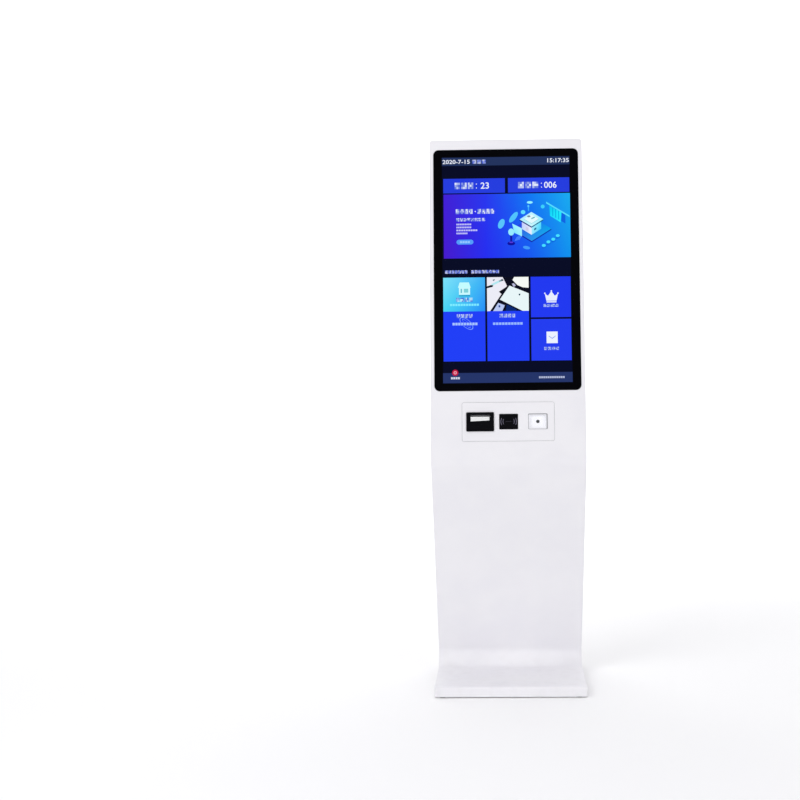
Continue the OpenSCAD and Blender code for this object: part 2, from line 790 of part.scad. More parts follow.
// Involute gear teeth, as the points of one tooth's two flanks.
pressure = 20;
function involute(base, a) = base * [cos(a) + a * PI / 180 * sin(a), sin(a) - a * PI / 180 * cos(a)];
function tooth(n, m) =
    let (
        pitch = n * m / 2,
        base = pitch * cos(pressure),
        tip = pitch + m * 0.95,
        tip_a = sqrt(pow(tip / base, 2) - 1) * 180 / PI,
        pitch_a = tan(pressure) * 180 / PI - pressure,
        half = 90 / n - 0.35 * 180 / (PI * n) + pitch_a,
        flank = [for (i = [0 : 4]) turned(involute(base, tip_a * i / 4), -half)]
    )
    concat([turned([pitch - 1.25 * m, 0], -half)], flank, [for (p = reversed(flank)) [p[0], -p[1]]],
        [turned([pitch - 1.25 * m, 0], half)]);
module gear(n, m, w, phase) {
    rotate([0, 90, 0]) linear_extrude(w, center = true) rotate(phase)
        polygon([for (i = [0 : n - 1], p = tooth(n, m)) turned(p, i * 360 / n)]);
}
gear_w = 4;
gear_x = side_x + side_t / 2 + 0.6 + gear_w / 2;
module platen_gear() {
    color("ivory") at_printer() translate([gear_x, platen_y, platen_s]) difference() {
        gear(platen_teeth, gear_m, gear_w, mesh_phase);
        rod(shaft_r, far);
    }
}
// The mesh line runs from the platen to the motor, so a tooth of one faces a gap of the other.
mesh_dir = atan2(motor_y - platen_y, -(motor_s - platen_s));
mesh_phase = mesh_dir;
module motor_pinion() {
    color("goldenrod") at_printer() translate([gear_x, motor_y, motor_s]) {
        difference() {
            gear(pinion_teeth, gear_m, gear_w, mesh_dir + 180 + 180 / pinion_teeth);
            rod(pinion_shaft_r - 0.5, far);
        }
        translate([-gear_w, 0, 0]) rod(pinion_shaft_r, gear_w * 3);
    }
}
motor_r = 9.5;
motor_l = 24;
module feed_motor() {
    color("silver") at_printer() translate([side_x - (side_t + motor_l) / 2, motor_y, motor_s])
        difference() {
            rod(motor_r, motor_l);
            translate([motor_l / 2, 0, 0]) rod(pinion_shaft_r + 0.5, 14);
        }
}
module cutter_blade() {
    color("silver") at_printer() translate([0, 0, blade_s])
        block(slot_w, blade_y, blade_y + blade_t, blade_h);
}

roll_y = 48;
roll_s = 45 - plate_s;
ear_x = 33;
module roll_cradle() {
    floor_s = -frame_half - seat_gap / 3;
    color("silver") at_printer() {
        translate([0, 0, floor_s - side_t / 2]) block(2 * ear_x, 20, frame_back, side_t);
        for (x = [-1, 1]) translate([x * (ear_x - side_t / 2), 0, (floor_s + roll_s - 10) / 2])
            block(side_t, roll_y - 10, roll_y + 10, floor_s - roll_s + 10);
        translate([0, roll_y, roll_s]) rod(spindle_r, 2 * ear_x);
    }
}
core_gap = 0.5;
module paper_roll() {
    color("white") at_printer() translate([0, roll_y, roll_s]) difference() {
        rod(roll_r, paper_w);
        rod(spindle_r + core_gap, far);
    }
}
web_y = roll_y + roll_r + seat_gap + 1;
web_end = blade_y + 1.6;
module paper_web() {
    line = [[web_y, roll_s, 0], [web_y, slot_s, 6], [web_end, slot_s, 0]];
    color("white") at_printer() across(paper_w) strip(line, -paper_t / 2, paper_t / 2);
}
ticket_in = blade_y - 0.7;
ticket_out = bezel_t + 3;
module ticket() {
    lip_s = slot_s - slot_h / 2 + seat_gap + paper_t / 2;
    line = [[ticket_in, lip_s, 0], [-ticket_out, lip_s, 2.2], [-ticket_out + 1, lip_s - ticket_drop, 0]];
    color("white") at_printer() across(paper_w) strip(line, -paper_t / 2, paper_t / 2);
}

window_t = 1.2;
reader_d = 18;
module reader_window() {
    color("black") on_head(plate_s, reader_x) {
        panel(reader_w, reader_h, 2.5, -window_t, 0);
        block(reader_w - 2 * hole_inset - 0.6, -0.1, sheet_t, reader_h - 2 * hole_inset - 0.6);
    }
}
module reader_case() {
    color("dimgray") on_head(plate_s, reader_x) {
        difference() {
            block(reader_w + 4, sheet_t, reader_d, reader_h + 4);
            block(reader_w + 1, -1, reader_d - 2, reader_h + 1);
        }
        block(reader_w - 8, reader_d - 8, reader_d - 2, reader_h - 8);
    }
}

scan_wall = 1.5;
scan_d = 12;
scan_in_w = scanner_w - 2 * hole_inset - 0.6 - 2 * scan_wall;
scan_in_h = scanner_h - 2 * hole_inset - 0.6 - 2 * scan_wall;
module at_scanner() {
    on_head(plate_s, scanner_x) children();
}
module scanner_bezel() {
    color("silver") at_scanner() difference() {
        union() {
            panel(scanner_w, scanner_h, 3, -window_t, 0);
            block(scan_in_w + 2 * scan_wall, -0.1, scan_d, scan_in_h + 2 * scan_wall);
        }
        block(scan_in_w, -far, far, scan_in_h);
    }
}
module scanner_window() {
    color("lightblue") at_scanner() block(scan_in_w - 0.4, -0.2, 0.8, scan_in_h - 0.4);
}
lens_r = 5;
tray_y = 7;
module scanner_tray() {
    color(white) at_scanner() difference() {
        block(scan_in_w - 0.4, tray_y, tray_y + 1.5, scan_in_h - 0.4);
        peg(lens_r + 0.2, 0, far);
    }
}
module scan_engine() {
    color("black") at_scanner() {
        block(26, tray_y + 1.7, tray_y + 16, 20);
        difference() {
            peg(lens_r, tray_y - 0.8, tray_y + 2);
            peg(lens_r - 1.5, tray_y - 2, tray_y + 1);
        }
    }
}

// ---- Doors, hinges and locks ----
module door(h) {
    difference() {
        block(door_w, -sheet_t - door_flange, 0, h);
        block(door_w - 2 * sheet_t, -far, -sheet_t, h - 2 * sheet_t);
        translate([lock_x, 0, 0]) peg(lock_r + run_gap, -far, far);
    }
}
lock_r = 9.5;
plug_r = 6.5;
lock_x = -door_w / 2 + 24;
module upper_door() {
    color(white) on_head_back(upper_door_mid) difference() {
        door(upper_door_h);
        translate([0, 0, upper_door_h / 2 - 90]) slots(3, 10, 80, 3, 100, 9, -5, 5);
        translate([0, 0, -upper_door_h / 2 + 90]) slots(3, 6, 80, 3, 100, 9, -5, 5);
    }
}
module lower_door() {
    color(white) on_column_back(lower_door_mid) difference() {
        door(lower_door_h);
        translate([40, 0, lower_door_h / 2 - 70]) slots(2, 8, 80, 3, 100, 9, -5, 5);
    }
}

hinge_x = door_w / 2 + door_gap / 2;
knuckle_y = barrel_r + seat_gap;
leaf_t = 2;
leaf_w = 18;
upper_hinges = [-upper_door_h * 0.4, 0, upper_door_h * 0.4];
lower_hinges = [-lower_door_h * 0.33, lower_door_h * 0.33];
// Half a hinge: side 1 is the frame's half with its pin, side -1 the door's half with its bore.
module leaf(side) {
    step = barrel_r + seat_gap;
    half = (hinge_l - seat_gap) / 2;
    foot = side > 0 ? -hinge_l / 2 : seat_gap / 2;
    difference() {
        union() {
            translate([side > 0 ? step : -leaf_w, 0, -hinge_l / 2])
                cube([leaf_w - step, leaf_t, hinge_l]);
            translate([side > 0 ? 0 : -leaf_w, 0, foot])
                cube([leaf_w, leaf_t, half]);
            translate([0, knuckle_y, foot])
                cylinder(r = barrel_r, h = half);
        }
        if (side < 0) translate([0, knuckle_y, -hinge_l]) cylinder(r = pin_r + run_gap, h = 2 * hinge_l);
        for (z = [-1, 1]) translate([side * (leaf_w - 6), 0, z * hinge_l / 3]) peg(1.8, -1, leaf_t + 1);
    }
    if (side > 0) translate([0, knuckle_y, -hinge_l / 2]) cylinder(r = pin_r, h = hinge_l - 2);
}
module hinge_frame_leaves() {
    color("silver") {
        for (s = upper_hinges) on_head_back(upper_door_mid + s, hinge_x) leaf(1);
        for (s = lower_hinges) on_column_back(lower_door_mid + s, hinge_x) leaf(1);
    }
}
module upper_door_leaves() {
    for (s = upper_hinges) color("silver") on_head_back(upper_door_mid + s, hinge_x) leaf(-1);
}
module lower_door_leaves() {
    for (s = lower_hinges) color("silver") on_column_back(lower_door_mid + s, hinge_x) leaf(-1);
}

cam_y = collar_d + sheet_t + 0.6;
cam_l = 36;
module lock_barrel() {
    color("silver") translate([lock_x, 0, 0]) difference() {
        union() {
            peg(lock_r + 2.5, 0, 2);
            peg(lock_r, -cam_y + 0.3, 1);
            peg(lock_r + 2.5, -sheet_t - 4, -sheet_t);
        }
        peg(plug_r + run_gap, -far, far);
    }
}
module lock_cam() {
    color("dimgray") translate([lock_x, 0, 0]) difference() {
        union() {
            peg(plug_r, -cam_y, 2.4);
            peg(plug_r + 2, -cam_y - 2, -cam_y);
            translate([0, 0, cam_l / 2 - 3]) block(12, -cam_y - 2, -cam_y, cam_l);
        }
        block(1.6, 1, far, 8);
    }
}
module upper_lock_barrel() { on_head_back(upper_door_mid) lock_barrel(); }
module upper_lock_cam() { on_head_back(upper_door_mid) lock_cam(); }
module lower_lock_barrel() { on_column_back(lower_door_mid) lock_barrel(); }
module lower_lock_cam() { on_column_back(lower_door_mid) lock_cam(); }

// ---- Mains inlet ----
rocker_x = 14;
socket_x = -9;
rocker_w = 13;
rocker_h = 20;
rocker_tilt = 8;
trunnion_r = 1.5;
trunnion_l = 1;
socket_w = 26;
socket_h = 18;
rocker_gap = 0.3;
module mains_inlet() {
    color("black") on_column_back(inlet_s, inlet_x) {
        difference() {
            union() {
                panel(inlet_w + 8, inlet_h + 8, 4, 0, 2);
                block(inlet_w, -28, 0.1, inlet_h);
            }
            translate([socket_x, 0, 0]) block(socket_w, -18, far, socket_h);
            translate([rocker_x, 0, 0]) {
                block(rocker_w + 2 * rocker_gap, -12, far, rocker_h + 2 * rocker_gap);
                rod(trunnion_r + run_gap, rocker_w + 2 * trunnion_l + 4 * rocker_gap);
            }
        }
        for (x = [-7, 0, 7]) translate([socket_x + x, 0, x == 0 ? 3 : -2]) block(2, -19, -7, 5);
    }
}
module power_rocker() {
    half = rocker_h / 2 - 0.6;
    profile = [
        [-4, -half + 2], [1.5, -half], [3.4, -half], [2, 0],
        [3.4, half], [1.5, half], [-4, half - 2], [-6, 0],
    ];
    color("black") on_column_back(inlet_s, inlet_x + rocker_x) rotate([rocker_tilt, 0, 0]) {
        across(rocker_w) polygon(profile);
        rod(trunnion_r, rocker_w + 2 * (trunnion_l + rocker_gap));
    }
}

// ---- Leads held inside ----
lead_r = 3.5;
lead_bend = 20;
// A round lead along corners k of the local XY plane.
module lead(k) {
    n = len(k);
    dirs = [for (i = [0 : n - 2]) unit(place_of(k[i + 1]) - place_of(k[i]))];
    turns = [for (i = [1 : n - 2]) atan2(cross2(dirs[i - 1], dirs[i]), dirs[i - 1] * dirs[i])];
    cut = [0, for (i = [1 : n - 2]) k[i][2] * tan(abs(turns[i - 1]) / 2), 0];
    for (i = [0 : n - 2]) {
        from = place_of(k[i]) + dirs[i] * cut[i];
        to = place_of(k[i + 1]) - dirs[i] * cut[i + 1];
        translate([from[0], from[1], 0]) rotate([0, 90, atan2(dirs[i][1], dirs[i][0])])
            cylinder(r = lead_r, h = norm(to - from));
    }
    for (i = [1 : n - 2]) {
        t = turns[i - 1];
        out = left_of(dirs[i - 1]) * -sign(t);
        centre = place_of(k[i]) - dirs[i - 1] * cut[i] - out * k[i][2];
        translate([centre[0], centre[1], 0]) rotate([0, 0, atan2(out[1], out[0]) + min(t, 0)])
            rotate_extrude(angle = abs(t)) translate([k[i][2], 0]) circle(lead_r);
    }
}
module inner_leads() {
    mains_y = column_d - collar_d - sheet_t - lead_r - 1.5;
    mains_x = inlet_x + inlet_w / 2 - 2 * lead_r;
    spine_y = psu_y + psu_d / 2;
    spine = shifted([
        [column_front(chest_h - psu_top * cos(column_slope)), chest_h - psu_top * cos(column_slope), 0],
        [chest_y, chest_h, 0],
        [head_point(pc_s - pc_h / 2, 0)[0], head_point(pc_s - pc_h / 2, 0)[1], 0],
    ], -spine_y);
    color("dimgray") {
        on_column() translate([0, mains_y, 0]) rotate([90, 0, 0]) lead([
            [mains_x, -inlet_s + inlet_h / 2, 0],
            [mains_x, -strip_s, lead_bend],
            [strip_x + strip_w / 2, -strip_s, 0],
        ]);
        translate([20, 0, 0]) rotate([90, 0, 90]) lead([
            spine[0],
            [spine[1][0], spine[1][1], 2 * lead_bend],
            spine[2],
        ]);
        on_head(0, 60) rotate([90, 0, 90]) lead([
            [pc_y + pc_d / 2, pc_s + pc_h / 2, 0],
            [pc_y + pc_d / 2, board_s + plug_s, lead_bend],
            [plug_y, board_s + plug_s, 0],
        ]);
    }
}

front_skin();
side_panel(-1);  // side_panel_left
side_panel(1);  // side_panel_right
top_cap();
rear_skin();
base_plate();
foot_pads();
cable_grommet();
frame_post(-1);  // frame_post_left
frame_post(1);  // frame_post_right
cross_rails();
screen_ledge();
glass_tape();
touch_glass();
lcd_bezel();
lcd_cell();
light_guide();
lcd_chassis();
display_rails();
display_board();
mini_pc();
pc_button();
power_supply();
socket_strip();
fan_frame();
fan_rotor();
fan_guard();
speakers();
module_plate();
module_frame();
printer_bezel();
printer_frame();
thermal_head();
platen_roller();
platen_gear();
motor_pinion();
feed_motor();
cutter_blade();
roll_cradle();
paper_roll();
paper_web();
ticket();
reader_window();
reader_case();
scanner_bezel();
scanner_window();
scanner_tray();
scan_engine();
upper_door();
lower_door();
hinge_frame_leaves();
upper_door_leaves();
lower_door_leaves();
upper_lock_barrel();
upper_lock_cam();
lower_lock_barrel();
lower_lock_cam();
mains_inlet();
power_rocker();
inner_leads();
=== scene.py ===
# %% [markdown]
# # A queue ticket kiosk
#
# The kiosk is a bent sheet-steel body with a leaning head, a slanted column and a flat foot. The head
# holds a portrait touch screen; a plate below it carries a ticket printer, a card reader and a code
# scanner. The engineering model already has every part at its real size, so this script only gives
# the parts their looks: softened edges, real finishes, the lit picture and the printed paper.

import json
from math import cos, pi, radians, sin

import bmesh
import bpy
import numpy as np
from mathutils import Matrix, Vector


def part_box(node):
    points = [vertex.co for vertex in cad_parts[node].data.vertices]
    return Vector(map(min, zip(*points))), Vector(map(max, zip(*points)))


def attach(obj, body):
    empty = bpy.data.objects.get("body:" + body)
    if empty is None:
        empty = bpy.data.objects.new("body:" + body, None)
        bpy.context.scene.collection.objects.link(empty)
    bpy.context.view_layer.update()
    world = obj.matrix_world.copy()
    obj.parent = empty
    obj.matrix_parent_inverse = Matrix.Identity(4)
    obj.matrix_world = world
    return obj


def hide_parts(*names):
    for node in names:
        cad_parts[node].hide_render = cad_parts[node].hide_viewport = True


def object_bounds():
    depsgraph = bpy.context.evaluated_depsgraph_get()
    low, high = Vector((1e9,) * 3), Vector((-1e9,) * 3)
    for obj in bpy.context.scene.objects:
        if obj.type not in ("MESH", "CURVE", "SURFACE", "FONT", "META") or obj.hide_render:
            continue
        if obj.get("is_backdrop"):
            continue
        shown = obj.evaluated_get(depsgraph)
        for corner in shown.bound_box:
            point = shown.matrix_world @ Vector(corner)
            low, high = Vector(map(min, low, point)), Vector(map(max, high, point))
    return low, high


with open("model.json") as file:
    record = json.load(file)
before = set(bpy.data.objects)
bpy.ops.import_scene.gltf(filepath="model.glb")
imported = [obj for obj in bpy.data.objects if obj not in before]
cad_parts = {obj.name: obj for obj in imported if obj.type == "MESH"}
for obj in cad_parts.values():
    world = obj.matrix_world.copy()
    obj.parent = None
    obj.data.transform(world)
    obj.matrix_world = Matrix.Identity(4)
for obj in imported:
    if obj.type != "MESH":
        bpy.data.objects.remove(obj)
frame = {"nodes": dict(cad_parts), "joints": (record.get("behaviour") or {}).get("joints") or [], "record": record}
cad_low, cad_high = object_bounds()
nodes = frame["nodes"]
joint = {entry["name"]: entry for entry in frame["joints"]}
body_of = {name: body for body, names in frame["record"]["behaviour"]["bodies"].items() for name in names}
MM = 0.001
print("nodes:", len(nodes), "joints:", len(joint), "height:", round(cad_high.z, 3), "m")

# %% [markdown]
# ## Directions of the leaning parts
#
# The head and the column lean, so a place on them is easiest to give as "across, up the face, out
# of the face". The hinge axes run up each face and the ticket slides straight out of it, so the
# joints already hold these directions. A Face keeps one origin with its three directions.

# %% Faces that pieces are laid on


def points_of(node):
    """All corners of a CAD node's mesh, as one array with a row per corner."""
    mesh = nodes[node].data
    flat = np.empty(len(mesh.vertices) * 3, np.float32)
    mesh.vertices.foreach_get("co", flat)
    return flat.reshape(-1, 3).astype(float)


class Face:
    """A leaning plane: an origin on it, and unit vectors across, up and out of it."""

    def __init__(self, origin, up, out):
        self.origin = np.array(origin, float)
        self.up = np.array(up, float) / np.linalg.norm(up)
        self.out = np.array(out, float) / np.linalg.norm(out)
        self.across = np.cross(-self.out, self.up)

    def at(self, across, up, out=0.0):
        """Points in the frame: origin + across * A + up * U + out * O, for numbers or whole arrays."""
        across, up, out = np.broadcast_arrays(across, up, out)
        return (self.origin + across[..., None] * self.across + up[..., None] * self.up
                + out[..., None] * self.out)

    def local(self, points):
        """The same three numbers back from points in the frame."""
        away = np.asarray(points, float) - self.origin
        return away @ self.across, away @ self.up, away @ self.out


def middle(node):
    """Middle of a CAD node's box."""
    low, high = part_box(node)
    return np.array((low + high) / 2)


out_of_head = np.array(joint["ticket_pull"]["axis"])
up_head = -np.array(joint["upper_door_hinge"]["axis"])
up_column = -np.array(joint["lower_door_hinge"]["axis"])
out_of_column_back = -np.array(joint["lower_lock_turn"]["axis"])


def face_on(node, up, out):
    """A Face whose origin is the middle of a node, brought out to the node's outermost surface."""
    start = middle(node)
    reach = ((points_of(node) - start) @ np.array(out)).max()
    return Face(start + np.array(out) * reach, up, out)


glass_face = face_on("touch_glass", up_head, out_of_head)
plate_face = face_on("module_plate", up_head, out_of_head)
head_back = face_on("upper_door", up_head, -out_of_head)
column_back = face_on("lower_door", up_column, out_of_column_back)
print("screen centre", glass_face.origin.round(4), "plate centre", plate_face.origin.round(4))

# %% [markdown]
# ## Camera
#
# An object this tall shows its shape best from a few metres away, through a moderately long lens at
# about chest height. A camera that looks nearly level keeps uprights upright. Turning it far off the
# object would make its level edges converge, so a small lens shift does part of that work, and the
# camera turns and dips by only a degree or so. It also leans a little, as one held by hand does.

# %% Camera

CAMERA_ACROSS = -0.011
CAMERA_DISTANCE = 3.529
CAMERA_HEIGHT = 1.064
TURN_DEGREES = 1.187
DIP_DEGREES = 1.735
LEAN_DEGREES = 0.619
LENS_MM = 52.74
SENSOR_MM = 36.0
SHIFT_ACROSS = -0.1
SHIFT_UP = -0.015

camera_data = bpy.data.cameras.new("camera")
camera_data.lens = LENS_MM
camera_data.sensor_width = SENSOR_MM
camera_data.shift_x = SHIFT_ACROSS
camera_data.shift_y = SHIFT_UP
camera = bpy.data.objects.new("camera", camera_data)
bpy.context.scene.collection.objects.link(camera)
place = Matrix.Translation((CAMERA_ACROSS, cad_low.y - CAMERA_DISTANCE, CAMERA_HEIGHT))
turned = Matrix.Rotation(radians(TURN_DEGREES), 4, "Z")
dipped = Matrix.Rotation(radians(90 - DIP_DEGREES), 4, "X")
leaned = Matrix.Rotation(-radians(LEAN_DEGREES), 4, "Z")
camera.matrix_world = place @ turned @ dipped @ leaned
bpy.context.scene.camera = camera
print("camera", [round(v, 3) for v in camera.location])

# %% [markdown]
# ## Studio
#
# White objects need a pale, seamless room: a floor that sweeps up into a back wall leaves no horizon
# line. The sweep is a profile (floor, quarter bend, wall) carried sideways. Large area lights give
# soft shading, and a pale world fills the shadows. Small low lights lift the bottom of the column,
# and a honeycomb grid narrows two more to a thin beam on the foot.

# %% Floor, lights and world


def mesh_piece(name, points, faces, smooth=True):
    """An object at the origin from a table of points and a list of faces."""
    mesh = bpy.data.meshes.new(name)
    corners = np.asarray(points, float).reshape(-1, 3).tolist()
    mesh.from_pydata(corners, [], [list(map(int, face)) for face in faces])
    mesh.validate()
    mesh.polygons.foreach_set("use_smooth", [smooth] * len(mesh.polygons))
    piece = bpy.data.objects.new(name, mesh)
    bpy.context.scene.collection.objects.link(piece)
    return piece


def grid_faces(rows, columns, wrap=False):
    """Quads of a grid of rows x columns points, as index rows; wrap joins the last column to the first."""
    across = columns if wrap else columns - 1
    r, c = np.meshgrid(np.arange(rows - 1), np.arange(across), indexing="ij")
    a, b = r * columns + c, r * columns + (c + 1) % columns
    return np.stack([a, b, b + columns, a + columns], -1).reshape(-1, 4)


SWEEP_RADIUS = 1.6
FLOOR_FRONT, FLOOR_BACK, WALL_TOP, HALF_WIDTH = -16.0, 4.5, 7.0, 16.0
FLOOR_LOOK = {"Base Color": (0.99, 0.99, 0.99, 1), "Roughness": 0.85, "Specular IOR Level": 0.1}
bend = np.linspace(0, pi / 2, 25)
bend_y, bend_z = FLOOR_BACK + SWEEP_RADIUS * np.sin(bend), SWEEP_RADIUS * (1 - np.cos(bend))
profile_y = np.concatenate([[FLOOR_FRONT], bend_y, [FLOOR_BACK + SWEEP_RADIUS]])
profile_z = np.concatenate([[0.0], bend_z, [WALL_TOP]])
sides = np.array([-HALF_WIDTH, HALF_WIDTH])
sweep_points = np.stack(np.broadcast_arrays(sides[None, :], profile_y[:, None], profile_z[:, None]), -1)
floor = mesh_piece("floor", sweep_points, grid_faces(len(profile_y), 2))
floor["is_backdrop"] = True
floor_paint = bpy.data.materials.new("pale_floor")
floor_paint.use_nodes = True
for socket, value in FLOOR_LOOK.items():
    floor_paint.node_tree.nodes["Principled BSDF"].inputs[socket].default_value = value
floor.data.materials.append(floor_paint)


def area_light(name, place, target, size, watts, beam_degrees=180):
    """A soft square light at place, aimed at target; a honeycomb grid narrows its beam."""
    data = bpy.data.lights.new(name, "AREA")
    data.shape = "SQUARE"
    data.size = size
    data.energy = watts
    data.spread = radians(beam_degrees)
    light = bpy.data.objects.new(name, data)
    bpy.context.scene.collection.objects.link(light)
    aim = Vector(target) - Vector(place)
    light.matrix_world = Matrix.Translation(place) @ aim.to_track_quat("-Z", "Y").to_matrix().to_4x4()


AIM = (0, 0, 0.9)
area_light("key", (-2.6, -3.4, 3.6), AIM, 2.6, 74)
area_light("fill", (3.0, -3.6, 2.4), AIM, 3.0, 28)
for side, x in (("left", -1.0), ("right", 1.0)):
    area_light("low_" + side, (1.5 * x, -1.9, 0.7), (0, -0.1, 0.1), 0.9, 1.8)
    area_light("foot_" + side, (1.1 * x, -2.0, 0.6), (0, 0, 0.1), 0.3, 0.03, 14)
area_light("top", (0.0, 0.4, 4.6), AIM, 3.2, 24)
area_light("back_left", (-2.8, 3.0, 2.6), AIM, 2.4, 15)
area_light("back_right", (2.8, 3.0, 1.8), AIM, 2.4, 9)
for part, x in (("left", -3.4), ("middle", 0.0), ("right", 3.4)):
    area_light("wall_" + part, (x, 3.4, 4.4), (x, 6.1, 1.4), 2.8, 54)

world = bpy.data.worlds.new("studio")
world.use_nodes = True
world.node_tree.nodes["Background"].inputs["Color"].default_value = (0.97, 0.965, 1.0, 1)
world.node_tree.nodes["Background"].inputs["Strength"].default_value = 0.54
bpy.context.scene.world = world
bpy.context.scene.view_settings.view_transform = "Standard"
print("studio ready")

# %% [markdown]
# ## Shader sums as Python
#
# A finish is a small tree of nodes. Signal wraps one output, so a sum such as `0.3 + 0.1 * grain`
# adds its Math nodes; Paint holds the tree, and its node() adds any other node. Every pattern reads
# object coordinates in metres, so a grain of 2 mm is a scale of 500.

# %% Signal and Paint


class Signal:
    """One output of a shader tree, with the signs of arithmetic."""

    def __init__(self, paint, socket):
        self.paint = paint
        self.socket = socket

    def math(self, operation, first, second=0.0):
        return self.paint.node("ShaderNodeMath", {"operation": operation}, {0: first, 1: second})

    def __add__(self, other):
        return self.math("ADD", self, other)

    def __sub__(self, other):
        return self.math("SUBTRACT", self, other)

    def __rsub__(self, other):
        return self.math("SUBTRACT", other, self)

    def __mul__(self, other):
        return self.math("MULTIPLY", self, other)

    def __gt__(self, other):
        return self.math("GREATER_THAN", self, other)

    def sine(self):
        return self.math("SINE", self)

    def root(self):
        return self.math("SQRT", self)

    def eased(self, low, high):
        """0 below low, 1 above high, and a smooth step between."""
        return self.paint.node("ShaderNodeMapRange", {"interpolation_type": "SMOOTHSTEP"},
                               {"Value": self, "From Min": low, "From Max": high})

    __radd__ = __add__
    __rmul__ = __mul__


class Paint:
    def __init__(self, name):
        self.material = bpy.data.materials.new(name)
        self.material.use_nodes = True
        self.tree = self.material.node_tree
        self.tree.nodes.clear()
        self.place = self.node("ShaderNodeTexCoord", output="Object")

    def node(self, kind, settings=(), sockets=(), output=0):
        made = self.tree.nodes.new(kind)
        for key, value in dict(settings).items():
            setattr(made, key, value)
        for key, value in dict(sockets).items():
            self.join(value, made.inputs[key])
        return Signal(self, made.outputs[output])

    def join(self, value, socket):
        if isinstance(value, Signal):
            self.tree.links.new(value.socket, socket)
        else:
            socket.default_value = value

    def axis(self, letter):
        """One coordinate of the place on the piece, in metres."""
        return self.node("ShaderNodeSeparateXYZ", (), {0: self.place}, letter)

    def height(self, direction):
        """How far the place lies along a direction from the frame's origin, in metres."""
        return self.node("ShaderNodeVectorMath", {"operation": "DOT_PRODUCT"},
                         {0: self.place, 1: tuple(direction)}, "Value")

    def noise(self, scale, detail=2.0, stretch=(1, 1, 1), roughness=0.5):
        """Cloudy noise around 0.5, with a grain of 1 / scale metres."""
        moved = self.node("ShaderNodeMapping", (), {"Vector": self.place, "Scale": stretch})
        return self.node("ShaderNodeTexNoise", (),
                         {"Vector": moved, "Scale": scale, "Detail": detail, "Roughness": roughness})

    def wipes(self):
        """Marks that a cloth leaves on glass: wide clouds, drawn out."""
        return self.noise(9.0, 4.0, (1, 1, 5))

    def mix(self, share, first, second):
        """A colour between two, by a share of 0 to 1."""
        return self.node("ShaderNodeMix", {"data_type": "RGBA"}, {0: share, 6: first, 7: second}, 2)

    def bump(self, height, strength, depth):
        return self.node("ShaderNodeBump", (), {"Height": height, "Strength": strength, "Distance": depth})

    def finish(self, colour, roughness, normal=None, **steady):
        """Principled surface: what varies is colour, roughness, normal; steady holds plain numbers."""
        surface = self.tree.nodes.new("ShaderNodeBsdfPrincipled")
        self.join(colour, surface.inputs["Base Color"])
        self.join(roughness, surface.inputs["Roughness"])
        if normal:
            self.join(normal, surface.inputs["Normal"])
        for key, value in steady.items():
            self.join(value, surface.inputs[key.replace("_", " ").title().replace("Ior", "IOR")])
        ending = self.tree.nodes.new("ShaderNodeOutputMaterial")
        self.tree.links.new(surface.outputs[0], ending.inputs[0])
        return self.material


def tint(red, green, blue):
    """A colour given as screen values of 0 to 255, as linear light."""
    screen = np.array([red, green, blue]) / 255
    linear = np.where(screen <= 0.04045, screen / 12.92, ((screen + 0.055) / 1.055) ** 2.4)
    return (*linear.tolist(), 1.0)


# %% [markdown]
# ## Finishes
#
# Powder coat is a thick baked film: it pools into a very fine orange peel, with a soft sheen and
# barely visible clouds in its tone. It dulls a little near the floor, where shoes and mops reach it.

# %% White powder coat


def powder_coat(name, red, green, blue):
    """Off-white film: colour clouds of 12 cm, orange peel of 1.6 mm, duller and greyer near the floor."""
    paint = Paint(name)
    clouds = paint.noise(8.0, 3.0)
    peel = paint.noise(620.0, 2.0)
    specks = paint.noise(2600.0, 1.0)
    near_floor = 1 - paint.axis("Z").eased(0.004, 0.11)
    dust = near_floor * paint.noise(38.0, 4.0).eased(0.42, 0.74)
    fresh = paint.mix(clouds.eased(0.3, 0.7), tint(red, green, blue), tint(red + 3, green + 3, blue + 2))
    colour = paint.mix(dust * 0.05, fresh, tint(168, 163, 154))
    rough = 0.36 + 0.07 * clouds + 0.16 * dust
    normal = paint.bump(peel + 0.25 * specks, 0.16, 0.0002)
    return paint.finish(colour, rough, normal, specular_ior_level=0.42, coat_weight=0.12, coat_roughness=0.3)


# %% [markdown]
# Steel inside the cabinet is zinc plated: rolled streaks along one way and pale crystals. The bright
# steel of hinges, locks and the fan's guard is only brushed. Both are metals, so their colour is the
# colour of their reflection.

# %% Metals


def zinc(name, tone=(172, 174, 176)):
    """Zinc plate: crystals of about 9 mm seen in tone and gloss, over rolling streaks."""
    paint = Paint(name)
    crystals = paint.node("ShaderNodeTexVoronoi", {"feature": "F1"}, {"Vector": paint.place, "Scale": 110.0},
                          "Color")
    flake = paint.node("ShaderNodeSeparateColor", (), {0: crystals}, 0)
    streaks = paint.noise(30.0, 3.0, (1, 1, 22))
    shade = 0.65 * flake + 0.35 * streaks
    colour = paint.mix(shade, tint(*tone), tint(*(value + 26 for value in tone)))
    normal = paint.bump(streaks, 0.2, 0.0001)
    return paint.finish(colour, 0.3 + 0.2 * shade, normal, metallic=0.9)


def brushed(name, tone, stretch=(30, 1, 1), rough=0.22):
    """Brushed metal: fine scratches drawn out along one way."""
    paint = Paint(name)
    scratches = paint.noise(60.0, 4.0, stretch, 0.65)
    stains = paint.noise(24.0, 2.0)
    colour = paint.mix(scratches, tint(*tone), tint(*(min(255, value + 22) for value in tone)))
    normal = paint.bump(scratches, 0.12, 0.00008)
    return paint.finish(colour, rough + 0.14 * scratches + 0.05 * stains, normal, metallic=1.0)


# %% [markdown]
# Moulded plastics carry the fine spark-eroded grain of their mould. Rubber is duller, with talc in
# its pores. Paper has fibres, and a cut roll shows its windings as rings around the spindle.

# %% Plastics, rubber and paper


